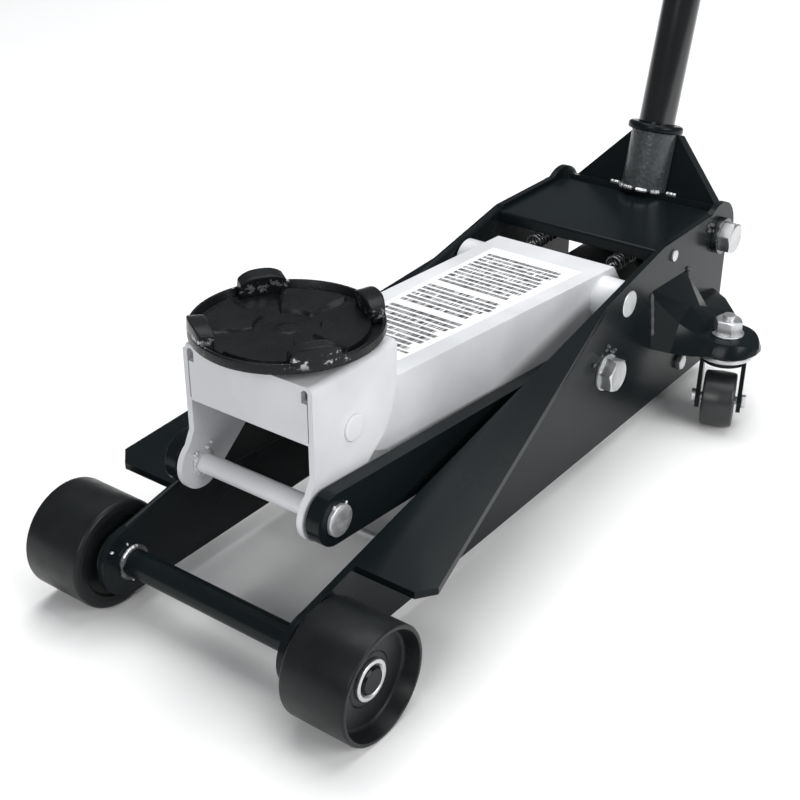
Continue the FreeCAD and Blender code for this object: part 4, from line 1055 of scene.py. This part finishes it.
def yoke():
    """Yoke with its rolled collar, the hammered skin of the socket lightened as painted sheen, and the dashed weld
    below, pale in part as a painted highlight.
    """
    refine("handle_yoke", 0.9)
    low, high = along_handle("socket_collar")
    inner, outer = 22.5 * MM, 27.5 * MM
    ring = [(inner, low, 0), (outer, low, 3.4 * MM), (outer, high, 3.4 * MM),
            (inner - 4 * MM, high, MM), (inner - 4 * MM, high - 1.5 * MM, 0),
            (inner, high - 1.5 * MM, 0)]
    handle_piece("collar_ring", ring, 96, "yoke", "frame_paint", ("socket_collar",), 6)

    # the sleeve's lighter black is painted sheen for the socket's highlight
    foot, top = 26.5 * MM, low + 0.5 * MM
    sleeve = [(22 * MM, foot, 0), (22.8 * MM, foot, 0.3 * MM), (22.8 * MM, top, 0),
              (22 * MM, top, 0)]
    bm = spin(sleeve, HANDLE_FOOT, HANDLE_AXIS, 96)
    finish_piece("socket_skin_with_painted_sheen", bm, "yoke", "frame_paint", SOCKET_SKIN_AND_SHEEN, (), False)

    # pale dashed weld at the socket's foot: bare weld metal, partly a painted highlight along the glossy bead
    across = Vector((0, 1, 0))
    ahead = across.cross(HANDLE_AXIS)
    weld_place = HANDLE_FOOT + HANDLE_AXIS * (foot + 0.8 * MM)
    bm = bmesh.new()
    for start, end in ((-64, -38), (-30, -4), (6, 34), (42, 66)):
        dash = [weld_place + (ahead * cos(a) + across * sin(a)) * 23.6 * MM
                for a in [radians(start + (end - start) * k / 8) for k in range(9)]]
        weld_bead(dash, 2.1 * MM, bm, 2.8 * MM)
    for side in (1, -1):
        run = [weld_place + ahead * 1.5 * MM + across * side * y * MM for y in (26, 31, 37)]
        weld_bead(run, 1.8 * MM, bm, 2.6 * MM)
    finish_piece("socket_weld_dashes_and_glint", bm, "yoke", "frame_paint", BARE_WELD_AND_GLINT)


def springs():
    """Two close-wound springs from the anchor rod to the arm, hooked at both ends."""
    low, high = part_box("return_springs")
    start, end = low.x, high.x
    axis_z = (low.z + high.z) / 2
    coil, wire = 6.8 * MM, 1.25 * MM
    spacing = 44 * MM
    turns, steps_per_turn = 11, 20
    total = turns * steps_per_turn
    for name, side in (("near", 1), ("far", -1)):
        y = side * spacing
        path = []
        for step in range(total + 1):
            share = step / total
            angle = 2 * pi * turns * share + pi / 2
            neck = min(1.0, 0.25 + 14 * min(share, 1 - share))
            path.append(Vector((start + 5 * MM + (end - start - 10 * MM) * share,
                                y + coil * neck * cos(angle),
                                axis_z + coil * neck * sin(angle))))
        hook_front = [path[-1].lerp(Vector((end + 3 * MM, y, axis_z)), t) for t in (0.4, 0.8)]
        hook_rear = [Vector((start - 6 * MM, y, axis_z)).lerp(path[0], t) for t in (0.2, 0.6)]
        bm = tube_along(hook_rear + path + hook_front, lambda share: wire, None, 8)
        bmesh.ops.recalc_face_normals(bm, faces=bm.faces)
        piece = new_object(f"return_spring_{name}", bm, MATERIALS["spring_wire"])
        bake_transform(piece)
        if side > 0:
            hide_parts("return_springs")
            done_nodes.add("return_springs")


# ---- frame pressings
def side_plates():
    """Plates whose wing is bent outward over a generous radius, with rounded rims."""
    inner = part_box("top_cover")[1].y
    lead, tail, low = at(-56, 0, 0).x, at(-400, 0, 0).x, at(0, 0, 60).z

    def fold_in(face):
        """A test for the fold's edges on the inner or outer face of a plate."""
        def test(edge, spot):
            return (tail < spot.x < lead and spot.z > low and is_along(edge, 0)
                    and face - MM < abs(spot.y) < face + MM)
        return test

    for node in ("side_plate_left", "side_plate_right"):
        refine(node, 1.0, [(fold_in(inner), 5.0), (fold_in(inner + 6 * MM), 2.0)])


def top_cover():
    """Folded cover with a bend at its front edge."""
    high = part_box("top_cover")[1]

    def front_bend(edge, spot):
        return is_along(edge, 1) and spot.x > high.x - MM and spot.z > high.z - MM

    refine("top_cover", 0.7, [(front_bend, 3.6)])


front_wheel("front_wheel_left", 1)
front_wheel("front_wheel_right", -1)
axle_hardware()
for side_name, side in (("left", 1), ("right", -1)):
    caster(side_name, side)
    caster_bracket(side_name, side)
    refine(f"caster_fork_{side_name}", 1.0)
    refine(f"tie_link_{side_name}", 2.2, (), 3)
saddle()
lift_arm()
arm_label()
saddle_bracket()
cross_tube()
pressed_pins("bracket_pins", 2, 8, 40, 10.5, 2.4, "arm_paint", None, ())
pressed_pins("tie_front_pins", 4, 9, 56, 12.5, 4.0, "zinc", SHAFT_END,
             (((5, 1.0, 11.8), 1.7), ((-9, 0.6, 10), 1.2)))
hex_bolts("tie_pivot_bolts", 63.8, 9, 28, 12)
hex_bolts("yoke_pivot_bolts", 70, 8, 28, 12)
hex_bolts("frame_bolts", 76, 5, 14, 5)
caster_nuts()
plate_marks()
handle()
yoke()
springs()
side_plates()
top_cover()
refine("arm_pivot_shaft", 1.2, (), 3, SHAFT_END)
refine("stretcher_rod", 0.6, (), 2, SHAFT_END)
refine("yoke_bolt_washers", 0.6, (), 2, MATERIALS["spring_wire"])
EDGE_MM = {"power_unit_block": 3.0, "cylinder_head": 1.4, "caster_races": 2.0,
           "rear_cross_member": 1.2}
for node in sorted(set(frame["nodes"]) - done_nodes):
    refine(node, EDGE_MM.get(node, 0.5))

# ---- camera, light and floor
scene = bpy.context.scene
camera_data = bpy.data.cameras.new("camera")
camera_data.lens = 62.02  # mm, on the sensor's width below
camera_data.sensor_width = 36.0
camera_data.clip_start = 0.01
camera = bpy.data.objects.new("camera", camera_data)
scene.collection.objects.link(camera)
camera.location = (0.98423, 0.59724, 0.66614)
camera.rotation_euler = Vector((-0.7016, -0.5231, -0.4838)).to_track_quat("-Z", "Y").to_euler()
scene.camera = camera
scene.view_settings.view_transform = "Standard"


def floor():
    """Wide flat pale studio floor."""
    graph = Graph("studio_floor")
    graph.bump((graph.noise(300, 2), 0.02, 0.0002))
    tone = graph.mottle(graph.noise(1.2, 2), 0.3, 0.7, (0.90, 0.90, 0.90), (0.94, 0.94, 0.94))
    graph.set(Base_Color=tone, Roughness=0.85)
    bm = bmesh.new()
    bmesh.ops.create_grid(bm, x_segments=8, y_segments=8, size=7.0)
    item = new_object("studio_floor", bm, graph.material, False)


def area_light(name, place, target, size, power):
    """A rectangular lamp of a size in metres and a power in watts, turned to its target."""
    data = bpy.data.lights.new(name, "AREA")
    data.shape = "RECTANGLE"
    data.size, data.size_y = size
    data.energy = power
    item = bpy.data.objects.new(name, data)
    scene.collection.objects.link(item)
    item.location = place
    item.rotation_euler = (Vector(target) - Vector(place)).to_track_quat("-Z", "Y").to_euler()
    return item


floor()
area_light("overhead", (-0.3, 0.0, 2.4), (-0.1, 0, 0), (2.4, 1.8), 38)
area_light("back_high", (-2.0, -1.5, 3.6), (-1.6, -1.2, 0), (3.0, 3.0), 95).visible_glossy = False
area_light("near_side", (0.2, 2.4, 1.5), (0, 0, 0.1), (1.8, 1.0), 40)
area_light("front_side", (2.6, 0.3, 1.6), (0, 0, 0.1), (1.4, 1.0), 24)
world = bpy.data.worlds.new("studio")
world.use_nodes = True
sky = world.node_tree.nodes["Background"]
sky.inputs["Color"].default_value = (0.93, 0.96, 1.0, 1.0)
sky.inputs["Strength"].default_value = 0.18
scene.world = world
